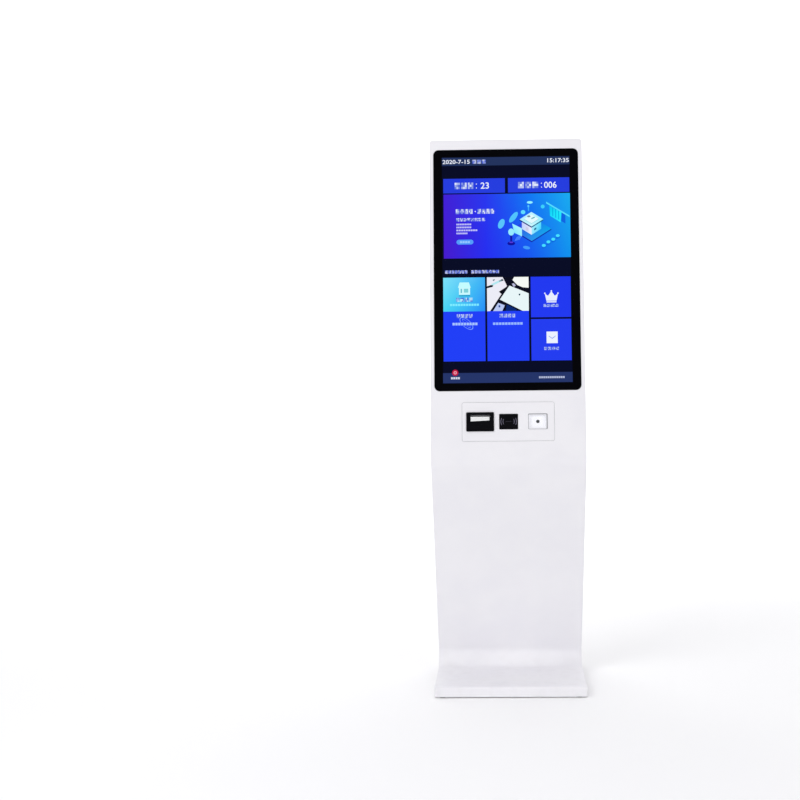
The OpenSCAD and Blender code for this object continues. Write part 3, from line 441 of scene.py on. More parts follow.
def moulded(name, tone, rough, grain=900.0, **steady):
    """Moulded plastic: pin-prick grain, with faint flow marks in its gloss."""
    paint = Paint(name)
    prick = paint.noise(grain, 2.0)
    flow = paint.noise(14.0, 2.0, (1, 1, 3))
    colour = paint.mix(flow, tint(*tone), tint(*(min(255, value + 9) for value in tone)))
    return paint.finish(colour, rough - 0.05 + 0.14 * flow, paint.bump(prick, 0.3, 0.00012), **steady)


def rubbery(name, tone=(30, 30, 31)):
    """Rubber: soft pores and pale talc left in them."""
    paint = Paint(name)
    pores = paint.noise(700.0, 3.0)
    talc = paint.noise(55.0, 4.0).eased(0.5, 0.75)
    colour = paint.mix(talc * 0.3, tint(*tone), tint(92, 90, 87))
    return paint.finish(colour, 0.78 + 0.12 * pores, paint.bump(pores, 0.4, 0.0003), specular_ior_level=0.3)


def papery(name, tone=(243, 244, 243)):
    """Thermal paper: long soft fibres in tone and in relief."""
    paint = Paint(name)
    fibres = paint.noise(420.0, 4.0, (1, 3, 1), 0.6)
    colour = paint.mix(fibres, tint(*tone), tint(*(value - 12 for value in tone)))
    return paint.finish(colour, 0.62 + 0.1 * fibres, paint.bump(fibres, 0.25, 0.0001))


def glossy(name, tone, rough, **steady):
    """Polished dark glass or acrylic: wiping marks that only show in the gloss."""
    paint = Paint(name)
    wipes = paint.wipes()
    colour = paint.mix(wipes, tint(*tone), tint(*(value + 2 for value in tone)))
    return paint.finish(colour, rough + 0.05 * wipes, **steady)


finish_of_slot = {
    "white_powder_coat": powder_coat("white_powder_coat", 236, 235, 239),
    "zinc_steel": zinc("zinc_steel"),
    "bright_steel": brushed("bright_steel", (196, 197, 199)),
    "aluminium": brushed("aluminium", (178, 180, 184), (1, 1, 26), 0.34),
    "brass": brushed("brass", (196, 160, 86), (14, 1, 1)),
    "black_glass": glossy("black_glass", (2, 2, 5), 0.07, specular_ior_level=0.03),
    "clear_glass": glossy("clear_glass", (226, 230, 236), 0.05, specular_ior_level=0.3, alpha=0.05),
    "black_plastic": moulded("black_plastic", (4, 4, 7), 0.34, specular_ior_level=0.05),
    "grey_plastic": moulded("grey_plastic", (196, 198, 202), 0.45),
    "clear_plastic": glossy("clear_plastic", (226, 228, 234), 0.08, specular_ior_level=0.4, alpha=0.12),
    "circuit_board": moulded("circuit_board", (18, 74, 40), 0.32, 260.0),
    "black_rubber": rubbery("black_rubber"),
    "foam_tape": rubbery("foam_tape", (20, 20, 21)),
    "lead_jacket": rubbery("lead_jacket", (26, 26, 28)),
    "paper": papery("paper"),
}
slot_of = {entry["node"]: entry["material_slot"] for entry in frame["record"]["subparts"]}


def coat(piece, finish):
    """Gives a piece one finish."""
    piece.data.materials.clear()
    piece.data.materials.append(finish)
    return piece


for name, piece in nodes.items():
    coat(piece, finish_of_slot[slot_of[name]])
print("finishes:", len(finish_of_slot))

# %% [markdown]
# ## Softened edges
#
# No edge of folded, coated or moulded material is sharp: it has a radius of a few tenths of a
# millimetre that catches a line of light. The engineering meshes are loose triangles, so a welded
# copy of each visible part gets its flat faces joined, a bevel on its hard edges, and normals
# weighted by face so that large flats stay flat.

# %% Edge-softened copies

HARD_EDGE = radians(34)
NEARLY_FLAT = radians(0.6)
SAME_PLACE = 2e-6


def eased_copy(node, width):
    """A welded copy of a CAD node with its hard edges rounded by width; it stands for the node."""
    work = bmesh.new()
    work.from_mesh(nodes[node].data)
    bmesh.ops.remove_doubles(work, verts=work.verts, dist=SAME_PLACE)
    bmesh.ops.dissolve_limit(work, angle_limit=NEARLY_FLAT, verts=work.verts, edges=work.edges)
    for face in work.faces:
        face.smooth = True
    mesh = bpy.data.meshes.new(node + "_piece")
    work.to_mesh(mesh)
    work.free()
    piece = bpy.data.objects.new(node + "_piece", mesh)
    bpy.context.scene.collection.objects.link(piece)
    edge = piece.modifiers.new("edge", "BEVEL")
    edge.width = width
    edge.segments = 2
    edge.limit_method = "ANGLE"
    edge.angle_limit = HARD_EDGE
    edge.use_clamp_overlap = False
    edge.harden_normals = True
    shade = piece.modifiers.new("shade", "WEIGHTED_NORMAL")
    shade.keep_sharp = True
    coat(piece, finish_of_slot[slot_of[node]])
    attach(piece, body_of[node])
    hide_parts(node)
    return piece


EASED = {
    "front_skin": 0.45, "side_panel_left": 0.6, "side_panel_right": 0.6, "top_cap": 0.6, "rear_skin": 0.45,
    "upper_door": 0.5, "lower_door": 0.5, "module_plate": 0.35, "base_plate": 0.6, "touch_glass": 0.5,
    "printer_bezel": 0.4, "reader_window": 0.3, "scanner_bezel": 0.3,
    "mains_inlet": 0.4, "power_rocker": 0.4, "fan_frame": 0.5, "upper_lock_barrel": 0.3,
    "lower_lock_barrel": 0.3, "upper_lock_cam": 0.25, "lower_lock_cam": 0.25, "foot_pads": 0.5,
}
for name, width in EASED.items():
    eased_copy(name, width * MM)
print("softened:", len(EASED), "parts")

# %% [markdown]
# ## The lit picture
#
# The display shows a queueing page: a bar with the time, two counters, a banner with a small
# isometric scene, tiles to press and a footer. A lit panel sends out its own light, so every shape
# is a flat polygon just in front of the glass, whose corner colours drive the glow of one material.
# Layers 0.04 mm apart keep the order of overlaps, as sheets of a print would. Only figures are set as
# lettering: a line of words is a row of blocks, and a tall one is a mosaic of tones.

# %% A picture made of flat shapes

LAYER = 0.04 * MM
FIRST_LAYER = 0.05 * MM
BLOCK_SHARE = 0.82  # of its pitch that a block of a word fills
MOSAIC_FROM = 9.0  # height in mm from which a block is a mosaic
BEHIND = np.array([44.0, 70.0, 205.0])  # the blue that a mosaic's tones fade to
draw = np.random.default_rng(7)
picture_size = np.array([392.9, 698.4])


def ellipse(wide, high, turned, corners):
    """Corners round an ellipse: turn(turned) applied to (wide cos t, high sin t)."""
    t = np.linspace(0, 2 * pi, corners, endpoint=False)
    a = radians(turned)
    turn = np.array([[cos(a), sin(a)], [-sin(a), cos(a)]])
    return np.stack([wide * np.cos(t), high * np.sin(t)], -1) @ turn


class Picture:
    """Flat shapes in millimetres from the picture's top left corner, y down, as one mesh."""

    def __init__(self, face, across=0.0, up=0.0):
        self.face = face
        self.corner = np.array([across, up])
        self.points, self.glow, self.faces = [], [], []

    def polygon(self, corners, colour, layer):
        """One polygon; colour is one screen colour, or one for each corner."""
        corners = np.array(corners, float)
        start = sum(len(part) for part in self.points)
        spots = self.corner + corners * [MM, -MM]
        self.points.append(self.face.at(spots[:, 0], spots[:, 1], FIRST_LAYER + layer * LAYER))
        colours = np.broadcast_to(np.array(colour, float), (len(corners), 3))
        self.glow += [tint(*value) for value in colours]
        after = np.roll(corners, -1, 0)
        area = (corners[:, 0] * after[:, 1] - after[:, 0] * corners[:, 1]).sum()
        order = range(len(corners)) if area < 0 else range(len(corners) - 1, -1, -1)
        self.faces.append([start + index for index in order])

    def box(self, left, top, right, bottom, colour, layer):
        self.polygon([(left, top), (right, top), (right, bottom), (left, bottom)], colour, layer)

    def disc(self, x, y, wide, high, colour, layer, turned=0.0):
        self.polygon(ellipse(wide, high, turned, 20) + [x, y], colour, layer)

    def blocks(self, left, top, right, bottom, count, colour, layer):
        """A line of words shown as count blocks; a tall block is a mosaic of 3 x 3 tones."""
        pitch, tall = (right - left) / count, bottom - top
        wide = BLOCK_SHARE * pitch
        for start in left + pitch * np.arange(count):
            if tall < MOSAIC_FROM:
                self.box(start, top, start + wide, bottom, colour, layer)
                continue
            for row, column in np.ndindex(3, 3):
                tone = BEHIND + (np.array(colour) - BEHIND) * draw.uniform(0.15, 1.0)
                x, y = start + wide * column / 3, top + tall * row / 3
                self.box(x, y, x + wide / 3, y + tall / 3, tone, layer)

    def clipped(self, corners, window, colour, layer):
        """A convex polygon cut to a window (left, top, right, bottom), one side after another."""
        shape = [np.array(corner, float) for corner in corners]
        cuts = ((0, 1, window[0]), (1, 1, window[1]), (0, -1, window[2]), (1, -1, window[3]))
        for axis, side, limit in cuts:
            kept = []
            for first, second in zip(shape, shape[1:] + shape[:1]):
                a, b = side * (first[axis] - limit), side * (second[axis] - limit)
                if a >= 0:
                    kept.append(first)
                if a * b < 0:
                    kept.append(first + (second - first) * a / (a - b))
            shape = kept
        if len(shape) > 2:
            self.polygon(shape, colour, layer)

    def digits(self, text, left, top, right, bottom, colour, layer):
        """Figures set in the plain built-in face, stretched to fill a box."""
        curve = bpy.data.curves.new("figures", "FONT")
        curve.body = text
        curve.offset = 0.012
        curve.resolution_u = 3
        holder = bpy.data.objects.new("figures", curve)
        mesh = bpy.data.meshes.new_from_object(holder)
        spots = np.array([vertex.co[:2] for vertex in mesh.vertices])
        low, high = spots.min(0), spots.max(0)
        share = (spots - low) / (high - low)
        placed = [left, bottom] + share * [right - left, top - bottom]
        for face in mesh.polygons:
            self.polygon(placed[list(face.vertices)], colour, layer)
        bpy.data.objects.remove(holder)
        bpy.data.curves.remove(curve)
        bpy.data.meshes.remove(mesh)

    def build(self, name, finish, body):
        piece = mesh_piece(name, np.concatenate(self.points), self.faces, smooth=False)
        colours = piece.data.attributes.new("glow", "FLOAT_COLOR", "POINT")
        colours.data.foreach_set("color", np.array(self.glow, np.float32).ravel())
        coat(piece, finish)
        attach(piece, body)


def glowing(name):
    """Dark glass that gives out the colour stored on the mesh; wiping marks stay in its gloss."""
    paint = Paint(name)
    colour = paint.node("ShaderNodeAttribute", {"attribute_name": "glow"})
    wipes = paint.wipes()
    return paint.finish(tint(3, 3, 7), 0.07 + 0.05 * wipes, emission_color=colour,
                        emission_strength=1.0, specular_ior_level=0.03)


white, navy = (238, 243, 255), (3, 7, 34)
screen = Picture(glass_face, *(picture_size * [-0.5, 0.5] * MM))
screen.box(0, 0, *picture_size, navy, 0)
screen.box(0, 0, picture_size[0], 26, (34, 50, 92), 1)
screen.digits("2020-7-15", 2, 7, 86, 20, white, 2)
screen.blocks(94, 7.5, 138, 20, 3, (200, 206, 226), 2)
screen.digits("15:17:35", 325, 6, 391, 19, white, 2)
for left, right, words, figures in ((4, 193.7, (39, 100), "23"), (203, 391.5, (234, 300), "006")):
    screen.box(left, 66.5, right, 112, (36, 60, 222), 1)
    screen.blocks(words[0], 79, words[1], 99, 3, white, 2)
    screen.disc(words[1] + 6, 84, 1.6, 1.6, white, 2)
    screen.disc(words[1] + 6, 96, 1.6, 1.6, white, 2)
    width = 12.8 * len(figures)
    first = 119 if len(figures) == 2 else 314
    screen.digits(figures, first, 79, first + width, 99, white, 2)
print("bar and counters:", len(screen.faces), "polygons")

# %% [markdown]
# The banner fades from violet to cyan. Its little scene is drawn in isometric view: u and v run
# along the ground to the lower right and lower left, and w goes straight up.

# %% Banner

banner = (4.5, 115.5, 393.0, 315.0)
corner_tones = np.array([[(64, 30, 214), (40, 54, 238), (14, 118, 244), (24, 172, 240)],
                         [(70, 24, 204), (36, 44, 240), (22, 84, 240), (12, 146, 238)]], float)
steps_x, steps_y = 9, 4
edge_x = np.linspace(banner[0], banner[2], steps_x + 1)
edge_y = np.linspace(banner[1], banner[3], steps_y + 1)


def banner_tone(x, y):
    """Colour at a place on the banner: linear between four tones along it and two down it."""
    along = (x - banner[0]) / (banner[2] - banner[0]) * 3
    down = (y - banner[1]) / (banner[3] - banner[1])
    first = min(int(along), 2)
    step = corner_tones[:, first + 1] - corner_tones[:, first]
    upper, lower = corner_tones[:, first] + step * (along - first)
    return upper + (lower - upper) * down


for i in range(steps_x):
    for j in range(steps_y):
        cell = [(edge_x[i], edge_y[j]), (edge_x[i + 1], edge_y[j]), (edge_x[i + 1], edge_y[j + 1]),
                (edge_x[i], edge_y[j + 1])]
        screen.polygon(cell, [banner_tone(*corner) for corner in cell], 1)
screen.blocks(42, 162, 96, 177, 4, white, 2)
screen.disc(102, 169.5, 1.8, 1.8, white, 2)
screen.blocks(108, 162, 162, 177, 4, white, 2)
screen.blocks(43, 190, 134, 200, 8, (226, 228, 255), 2)
for row, right in enumerate((90, 90, 109, 78)):
    screen.blocks(43.5, 207 + 9.3 * row, right, 212 + 9.3 * row, 9, (196, 196, 250), 2)
screen.disc(51, 264.5, 7.5, 7.5, (84, 156, 250), 2)
screen.disc(88, 264.5, 7.5, 7.5, (84, 156, 250), 2)
screen.box(51, 257, 88, 272, (84, 156, 250), 2)
screen.blocks(54, 261.5, 86, 267.5, 4, (150, 200, 255), 3)

MIDDLE = np.array([274.0, 226.0])


def iso(u, v, w=0.0):
    """Isometric view: x = 0.866 (u - v), y = 0.54 (u + v) - w, from the middle of the scene."""
    return MIDDLE + [0.866 * (u - v), 0.54 * (u + v) - w]


def iso_box(u, v, low, high, top, left, right, layer):
    """A block with u and v as (from, to), from height low to high, seen from above its near corner."""
    (a, b), (c, d) = u, v
    screen.polygon([iso(a, d, high), iso(b, d, high), iso(b, d, low), iso(a, d, low)], left, layer)
    screen.polygon([iso(b, d, high), iso(b, c, high), iso(b, c, low), iso(b, d, low)], right, layer)
    screen.polygon([iso(a, c, high), iso(b, c, high), iso(b, d, high), iso(a, d, high)], top, layer)


platform_top = [(30, 70, 232), (0, 168, 236), (40, 150, 238), (44, 52, 222)]
iso_box((-35, 35), (-35, 35), -4, 0, platform_top, (14, 18, 168), (12, 52, 168), 2)
pale_wall = [(196, 200, 252), (236, 236, 255), (236, 238, 255), (190, 214, 252)]
cyan_wall = [(176, 238, 255), (96, 226, 255), (60, 206, 250), (150, 232, 255)]
roof = [(196, 246, 255), (150, 240, 255), (205, 248, 255), (180, 240, 255)]
iso_box((-17, 17), (-17, 17), 0, 26, white, pale_wall, cyan_wall, 3)
iso_box((-21, 21), (-21, 21), 26, 30, roof, (12, 20, 122), (18, 110, 150), 4)
iso_box((-13, 13), (-13, 13), 30, 31, (226, 250, 255), (120, 180, 200), (120, 180, 200), 5)
screen.disc(266, 187, 5, 3, (120, 140, 160), 6)
screen.disc(279, 192, 7, 2, (96, 176, 190), 6, -25)
screen.polygon([iso(-4, 17, 4), iso(6, 17, 4), iso(6, 17, 16), iso(-4, 17, 16)], (206, 206, 232), 4)
screen.polygon([iso(17, 8, 8), iso(17, 0, 8), iso(17, 0, 14), iso(17, 8, 14)], (16, 110, 150), 4)
screen.polygon([(214.6, 208.6), (244.5, 224.3), (244.5, 249), (221, 237.5)],
               [(150, 240, 255), (176, 246, 255), (160, 240, 255), (130, 232, 255)], 5)
screen.disc(211.4, 235, 9, 11, (150, 236, 255), 6)
screen.polygon([(208.4, 244), (214.4, 244), (214.4, 268), (208.4, 268)], (14, 16, 160), 5)
screen.disc(211.4, 270.5, 12, 6, (12, 12, 158), 5)
screen.disc(211.4, 267, 6, 2, (92, 60, 226), 6)
screen.disc(269.5, 143.4, 9, 4, (150, 246, 255), 3)
screen.disc(265, 155, 3, 4, (84, 196, 255), 3)
screen.box(263.6, 158, 267, 170, (60, 176, 250), 3)
screen.disc(181.5, 209, 9, 16, (88, 196, 250), 3, 24)
screen.disc(219, 189, 8, 20, (80, 196, 252), 3, 38)
screen.disc(248.6, 173.5, 7, 6.5, (96, 222, 255), 3)
screen.disc(309, 157, 6, 6, (60, 210, 250), 3)
screen.polygon([(319.6, 141.8), (390.7, 186), (390.7, 191), (319.6, 147)], (84, 224, 255), 4)
screen.polygon([(329.3, 155), (366, 176), (363.4, 207), (331, 186.3)],
               [(0, 196, 236), (30, 240, 255), (40, 226, 255), (20, 220, 250)], 3)
screen.polygon([(366.5, 176), (378, 184), (378, 211), (365, 203)], (14, 100, 226), 3)
for step in range(3):
    x = 338 + 9 * step
    screen.polygon([(x, 160 + 5.2 * step), (x + 3, 161.8 + 5.2 * step), (x + 3, 188 + 5.2 * step),
                    (x, 186.3 + 5.2 * step)], (0, 176, 226), 4)
for x, y in ((310.8, 278), (325, 267), (340, 259), (354, 248)):
    screen.disc(x + 1, y + 5, 8, 3.5, (10, 104, 222), 2, -28)
    screen.disc(x, y, 6, 4.6, (70, 226, 255), 3)
for step in range(4):
    screen.polygon([(222 + 4 * step, 262 - step), (224 + 4 * step, 263 - step), (232 + 4 * step, 250 - step),
                    (230 + 4 * step, 249 - step)], (76, 140, 255), 3)
screen.disc(258, 284, 11, 5, (66, 156, 250), 2, 12)
print("with the banner:", len(screen.faces), "polygons")

# %% [markdown]
# Below the banner come the tiles: a shop tile, a tile with loose sheets of paper on a dark desk,
# and two plain tiles with a crown and an envelope. The sheets run past their tile's edge, so each
# is cut to the tile as a polygon, one side at a time.

# %% Tiles and footer

screen.blocks(8, 352, 78, 362, 7, (206, 210, 236), 1)
screen.blocks(88, 352, 175, 362, 8, (206, 210, 236), 1)

shop_tones = [(124, 226, 250), (64, 176, 246), (34, 140, 248), (70, 214, 244)]
screen.box(2, 374.5, 129.7, 479, shop_tones, 1)
screen.box(2, 479, 129.7, 632, (31, 62, 246), 1)
screen.polygon([(52, 389.5), (80.5, 389.5), (86, 406), (47, 406)], (196, 252, 255), 2)
screen.box(50, 406, 84, 427.5, (206, 250, 255), 2)
screen.box(55, 409, 59.5, 422, (104, 190, 206), 3)
screen.box(65, 409, 78.5, 421, (126, 208, 216), 3)
screen.box(50, 429.5, 84, 432, (30, 140, 170), 2)
screen.blocks(41, 436.6, 94, 449.6, 4, (196, 250, 255), 2)
screen.blocks(22.2, 455.4, 112, 462, 11, (128, 236, 255), 2)
screen.blocks(42.8, 487.5, 93, 499, 4, (206, 220, 255), 2)
screen.blocks(29.7, 513.6, 107.3, 521.6, 9, (168, 196, 255), 2)
OVALS_MIDDLE = np.array([72, 516])
for turned_by, wide, high in ((42, 26, 12), (50, 18, 5)):
    oval = ellipse(wide, high, turned_by, 24)
    for first, second in zip(oval, np.roll(oval, -1, 0)):
        strip = OVALS_MIDDLE + [first, second, 0.9 * second, 0.9 * first]
        screen.polygon(strip, (126, 166, 255), 3)

desk = (135.7, 374.5, 262.8, 479.0)
screen.box(*desk, (6, 8, 26), 1)
screen.box(135.7, 479, 262.8, 632, (31, 62, 246), 1)
sheets = [
    ([(-4, 0), (48, 0), (61, 27), (9, 104.5), (-4, 104.5)], (236, 236, 246)),
    ([(68.8, 26.4), (130, 52), (130, 112), (108, 104.5), (39, 69)], (232, 246, 248)),
    ([(84.5, -2), (130, -2), (130, 34), (109, 32), (93, 25), (78, 9)], (246, 250, 246)),
    ([(34, 79), (54, 87), (46, 104.5), (18, 104.5)], (184, 200, 244)),
    ([(76, 21), (82, 19), (88, 26), (82, 31)], (188, 190, 222)),
    ([(60, 84), (90, 100), (88, 106), (56, 106)], (6, 40, 112)),
]
for corners, tone in sheets:
    screen.clipped([(x + desk[0], y + desk[1]) for x, y in corners], desk, tone, 2)
marks = [
    ([(0, 28), (12, 24), (20, 25), (17, 30), (0, 34)], (4, 20, 28)),
    ([(12, 22), (30, 13), (44, 8), (48, 11), (28, 21), (18, 25)], (176, 232, 240)),
    ([(36, 12), (47, 5), (51, 11), (40, 14)], (8, 34, 46)),
    ([(36, 45), (61, 29), (45, 53)], (4, 6, 16)),
    ([(17, 9), (22, 6), (25, 8), (20, 12)], (80, 110, 120)),
    ([(96, 53), (101, 51), (102, 55), (98, 58)], (40, 72, 86)),
    ([(34, 88), (39, 86), (41, 92), (36, 94)], (44, 74, 150)),
]
for corners, tone in marks:
    screen.clipped([(x + desk[0], y + desk[1]) for x, y in corners], desk, tone, 3)
screen.blocks(173, 487.5, 223, 499, 4, (206, 220, 255), 2)
screen.blocks(153, 514, 245, 521.5, 10, (150, 184, 255), 2)

screen.box(269.2, 374.5, 391, 499.5, (32, 56, 240), 1)
crown = [(312, 427), (321.5, 434), (332, 419.5), (342.5, 434), (352, 427), (347.5, 449), (316.5, 449)]
crown_middle = np.array([332.0, 441.0])
for first, second in zip(crown, crown[1:] + crown[:1]):
    screen.polygon([first, second, crown_middle], (232, 238, 255), 2)
for x, y in ((312, 426), (332, 419), (352, 426)):
    screen.disc(x, y, 2.4, 2.4, (232, 238, 255), 3)
screen.box(317, 450.5, 347, 454.5, (232, 238, 255), 2)
screen.blocks(307, 459, 355.5, 468, 4, (206, 218, 255), 2)
screen.box(269.2, 505, 391, 632, (34, 60, 240), 1)
screen.box(315.6, 543.7, 349.4, 579.3, (236, 242, 255), 2)
screen.polygon([(322, 556), (332.5, 563.5), (343, 556), (343, 558.4), (332.5, 566), (322, 558.4)],
               (120, 146, 236), 3)
screen.blocks(308, 590.5, 355, 600, 4, (206, 218, 255), 2)

screen.box(0, 667.5, *picture_size, (36, 52, 104), 1)
screen.disc(37, 666.6, 9.5, 9.5, (196, 22, 62), 2)
screen.disc(37, 666.6, 5.2, 5.2, (232, 150, 170), 3)
screen.disc(37, 666.6, 2.2, 2.2, (196, 30, 66), 4)
screen.blocks(24, 680, 52, 686.5, 4, (210, 214, 232), 2)
screen.blocks(291, 680, 370, 686, 12, (176, 184, 214), 2)
screen.build("screen_picture", glowing("screen_glow"), "cabinet")
print("the whole picture:", len(screen.faces), "polygons")

# %% [markdown]
# ## Ticket, reader and scanner
#
# The ticket slip is thermal paper torn off slightly askew; it comes out of the slot, bends down
# over its lip and curls at the free end. It is a path carried across the paper's width, then given
# its thickness. Its printed line is a strip laid on the same path.

# %% Ticket slip


def thick_sheet(name, surface, thickness):
    """A closed sheet from a grid of points: both sides half the thickness along the normal, and a rim."""
    rows, columns = surface.shape[:2]
    down = np.gradient(surface, axis=0)
    along = np.gradient(surface, axis=1)
    normal = np.cross(down, along)
    normal /= np.linalg.norm(normal, axis=-1, keepdims=True)
    front, back = surface + normal * thickness / 2, surface - normal * thickness / 2
    points = np.concatenate([front.reshape(-1, 3), back.reshape(-1, 3)])
    cells = grid_faces(rows, columns)
    count = rows * columns
    index = np.arange(count).reshape(rows, columns)
    border = np.concatenate([index[0, :-1], index[:-1, -1], index[-1, :0:-1], index[:0:-1, 0]])
    after = np.roll(border, -1)
    rim = np.stack([after, border, border + count, after + count], -1)
    faces = list(cells) + list(cells[:, ::-1] + count) + list(rim)
    piece = mesh_piece(name, points, faces)
    fix = bmesh.new()
    fix.from_mesh(piece.data)
    bmesh.ops.recalc_face_normals(fix, faces=fix.faces)
    fix.to_mesh(piece.data)
    fix.free()
    return piece


def spans(node, face):
    """Lowest and highest of across, up and out, over a CAD node's corners."""
    return [(values.min(), values.max()) for values in face.local(points_of(node))]


def printed(name, tone):
    """Flat printing ink with a little unevenness in its tone."""
    paint = Paint(name)
    ink = paint.noise(500.0, 3.0)
    colour = paint.mix(ink, tint(*tone), tint(*(value * 0.8 for value in tone)))
    return paint.finish(colour, 0.5 + 0.1 * ink)


(slip_left, slip_right), (slip_low, slip_high), (slip_in, slip_out) = spans("ticket", plate_face)
SLIP_BEND = 2.4 * MM
SKEW = 2.6 * MM
CURL = 1.6 * MM
PAPER_THICKNESS = 0.16 * MM
ACROSS_STEPS = 15
top_line = slip_high - 0.1 * MM
out_line = slip_out - CURL
hang = top_line - SLIP_BEND - slip_low
straight = np.linspace(slip_in, out_line - SLIP_BEND, 6)[:-1]
bend = np.linspace(0, pi / 2, 9)
fall = np.linspace(0, 1, 12)[1:]
bend_out = out_line - SLIP_BEND + SLIP_BEND * np.sin(bend)
bend_up = top_line - SLIP_BEND * (1 - np.cos(bend))
path_out = np.concatenate([straight, bend_out, out_line + CURL * fall**2])
path_up = np.concatenate([np.full(len(straight), top_line), bend_up, top_line - SLIP_BEND - hang * fall])
share_down = np.clip((top_line - SLIP_BEND - path_up) / hang, 0, 1)
width_line = np.linspace(slip_left, slip_right, ACROSS_STEPS)
lean = np.linspace(0, 1, ACROSS_STEPS)
slip_up = path_up[:, None] + SKEW * lean[None, :] * share_down[:, None]
surface = plate_face.at(width_line[None, :], slip_up, path_out[:, None])
slip = thick_sheet("ticket_slip_paper", surface, PAPER_THICKNESS)
coat(slip, finish_of_slot["paper"])
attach(slip, body_of["ticket"])
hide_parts("ticket")
PRINT_DOWN = 0.42
PRINT_TALL = 0.5 * MM
print_out = np.interp(PRINT_DOWN, share_down, path_out) + 0.12 * MM
print_up = top_line - SLIP_BEND - hang * PRINT_DOWN + SKEW * lean * PRINT_DOWN
print_edges = np.array([[PRINT_TALL], [-PRINT_TALL]]) / 2
print_strip = plate_face.at(width_line, print_up + print_edges, print_out)
inked = mesh_piece("ticket_print", print_strip, grid_faces(2, ACROSS_STEPS))
coat(inked, printed("ticket_ink", (196, 197, 200)))
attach(inked, body_of["ticket"])
print("ticket slip hangs", round(hang / MM, 1), "mm")

# %% [markdown]
# The reader's window is printed with arcs like spreading waves. A print is thinner than a hair, so
# each arc is a flat strip 0.04 mm in front of the window. Round the scanner's opening a grey ring is
# painted shade, for the shade in the recess at the window's edge, and its tray has a painted glow that
# stands in for the light of the scanner's own lamp shining on it.

# %% Reader print, painted recess shade and painted glow of the scanner

PRINT_GAP = 0.04 * MM
ARC_HALF = 0.6  # half an arc's width, in mm
ARC_REACH = 26  # degrees to each side of the arc's middle


def arc_strip(face, across, up, out, radius, middle_angle):
    """Flat strip round a centre: centre + r (cos t, sin t), with t on both sides of a middle angle."""
    t = np.radians(np.linspace(middle_angle - ARC_REACH, middle_angle + ARC_REACH, 18))
    reach = np.array([radius - ARC_HALF, radius + ARC_HALF])[:, None] * MM
    return face.at(across + reach * np.cos(t), up + reach * np.sin(t), out)


def joined(name, grids, wrap=False, smooth=False):
    """Several grids of points as one object."""
    points, faces, start = [], [], 0
    for grid in grids:
        rows, columns = grid.shape[:2]
        points.append(grid.reshape(-1, 3))
        faces += list(grid_faces(rows, columns, wrap) + start)
        start += rows * columns
    return mesh_piece(name, np.concatenate(points), faces, smooth)


(window_left, window_right), (window_low, window_high), (_, window_out) = spans("reader_window", plate_face)
window_x, window_y = (window_left + window_right) / 2, (window_low + window_high) / 2
wave_out = window_out + PRINT_GAP
arcs = [arc_strip(plate_face, window_x, window_y, wave_out, radius, middle_angle)
        for radius in (17.0, 23.5) for middle_angle in (0, 180)]
dash_across, dash_up = np.array([[-9.0, 9.0]]) * MM, np.array([[-0.1], [0.1]]) * MM
arcs.append(plate_face.at(window_x + dash_across, window_y + dash_up, wave_out))
waves = coat(joined("reader_waves", arcs), printed("wave_ink", (138, 134, 156)))
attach(waves, "cabinet")

pale_plastic = moulded("pale_plastic", (233, 233, 237), 0.4)
coat(bpy.data.objects["scanner_bezel_piece"], pale_plastic)
# Painted light: the tray's colour glows, standing in for the light that the scanner's own lamp casts into the
# recess; the tray itself is no lamp.
tray_painted_glow = moulded("tray_painted_glow", (238, 238, 242), 0.5, emission_color=(1.0, 1.0, 1.0, 1.0),
                      emission_strength=0.15)
coat(nodes["scanner_tray"], tray_painted_glow)
(bezel_left, bezel_right), (bezel_low, bezel_high), (_, bezel_out) = spans("scanner_bezel", plate_face)


def bezel_loop(left, right, low, high, radius):
    """Rounded rectangle, each side so many mm inside the bezel's edge, from its lower right corner."""
    radius = radius * MM
    left, right = bezel_left + left * MM + radius, bezel_right - right * MM - radius
    low, high = bezel_low + low * MM + radius, bezel_high - high * MM - radius
    start, step = np.radians([-90, 0, 90, 180])[:, None], np.radians(np.linspace(0, 90, 7))
    x = np.array([[right], [right], [left], [left]]) + radius * np.cos(start + step)
    y = np.array([[low], [high], [high], [low]]) + radius * np.sin(start + step)
    loop = np.stack([x.ravel(), y.ravel()], -1)
    return np.concatenate([loop, loop[:1]])


# Painted shade: a grey ring round the scanner's opening, for the shade in the recess at the window's edge; it is
# wider at the right and the top, where the shade falls.
outer = bezel_loop(0.5, 0.5, 0.5, 0.5, 2.6)
inner = bezel_loop(1.5, 3.0, 1.5, 2.8, 2.2)
ring = np.stack([outer, inner])
recess_shade_ring = joined("scanner_recess_painted_shade", [plate_face.at(ring[..., 0], ring[..., 1], bezel_out + PRINT_GAP)])
coat(recess_shade_ring, printed("painted_shade_at_recess", (122, 123, 128)))
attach(recess_shade_ring, "cabinet")
print("reader waves and scanner recess shade placed")

# %% [markdown]
# ## Screws, windings and chips
#
# Small things show that a product is put together. Each hinge leaf is held by two button-head
# screws with a hexagon socket. A screw head is a profile turned round its axis, and the socket's
# ring is a hexagon: its distance from the axis is the flat's distance divided by the cosine of the
# angle from the nearest flat's middle.

# %% Screws

SCREW_SIDES = 24
angle = np.linspace(0, 2 * pi, SCREW_SIDES, endpoint=False)
round_ring = np.ones(SCREW_SIDES)
hex_ring = 1 / np.cos((angle + pi / 6) % (pi / 3) - pi / 6)


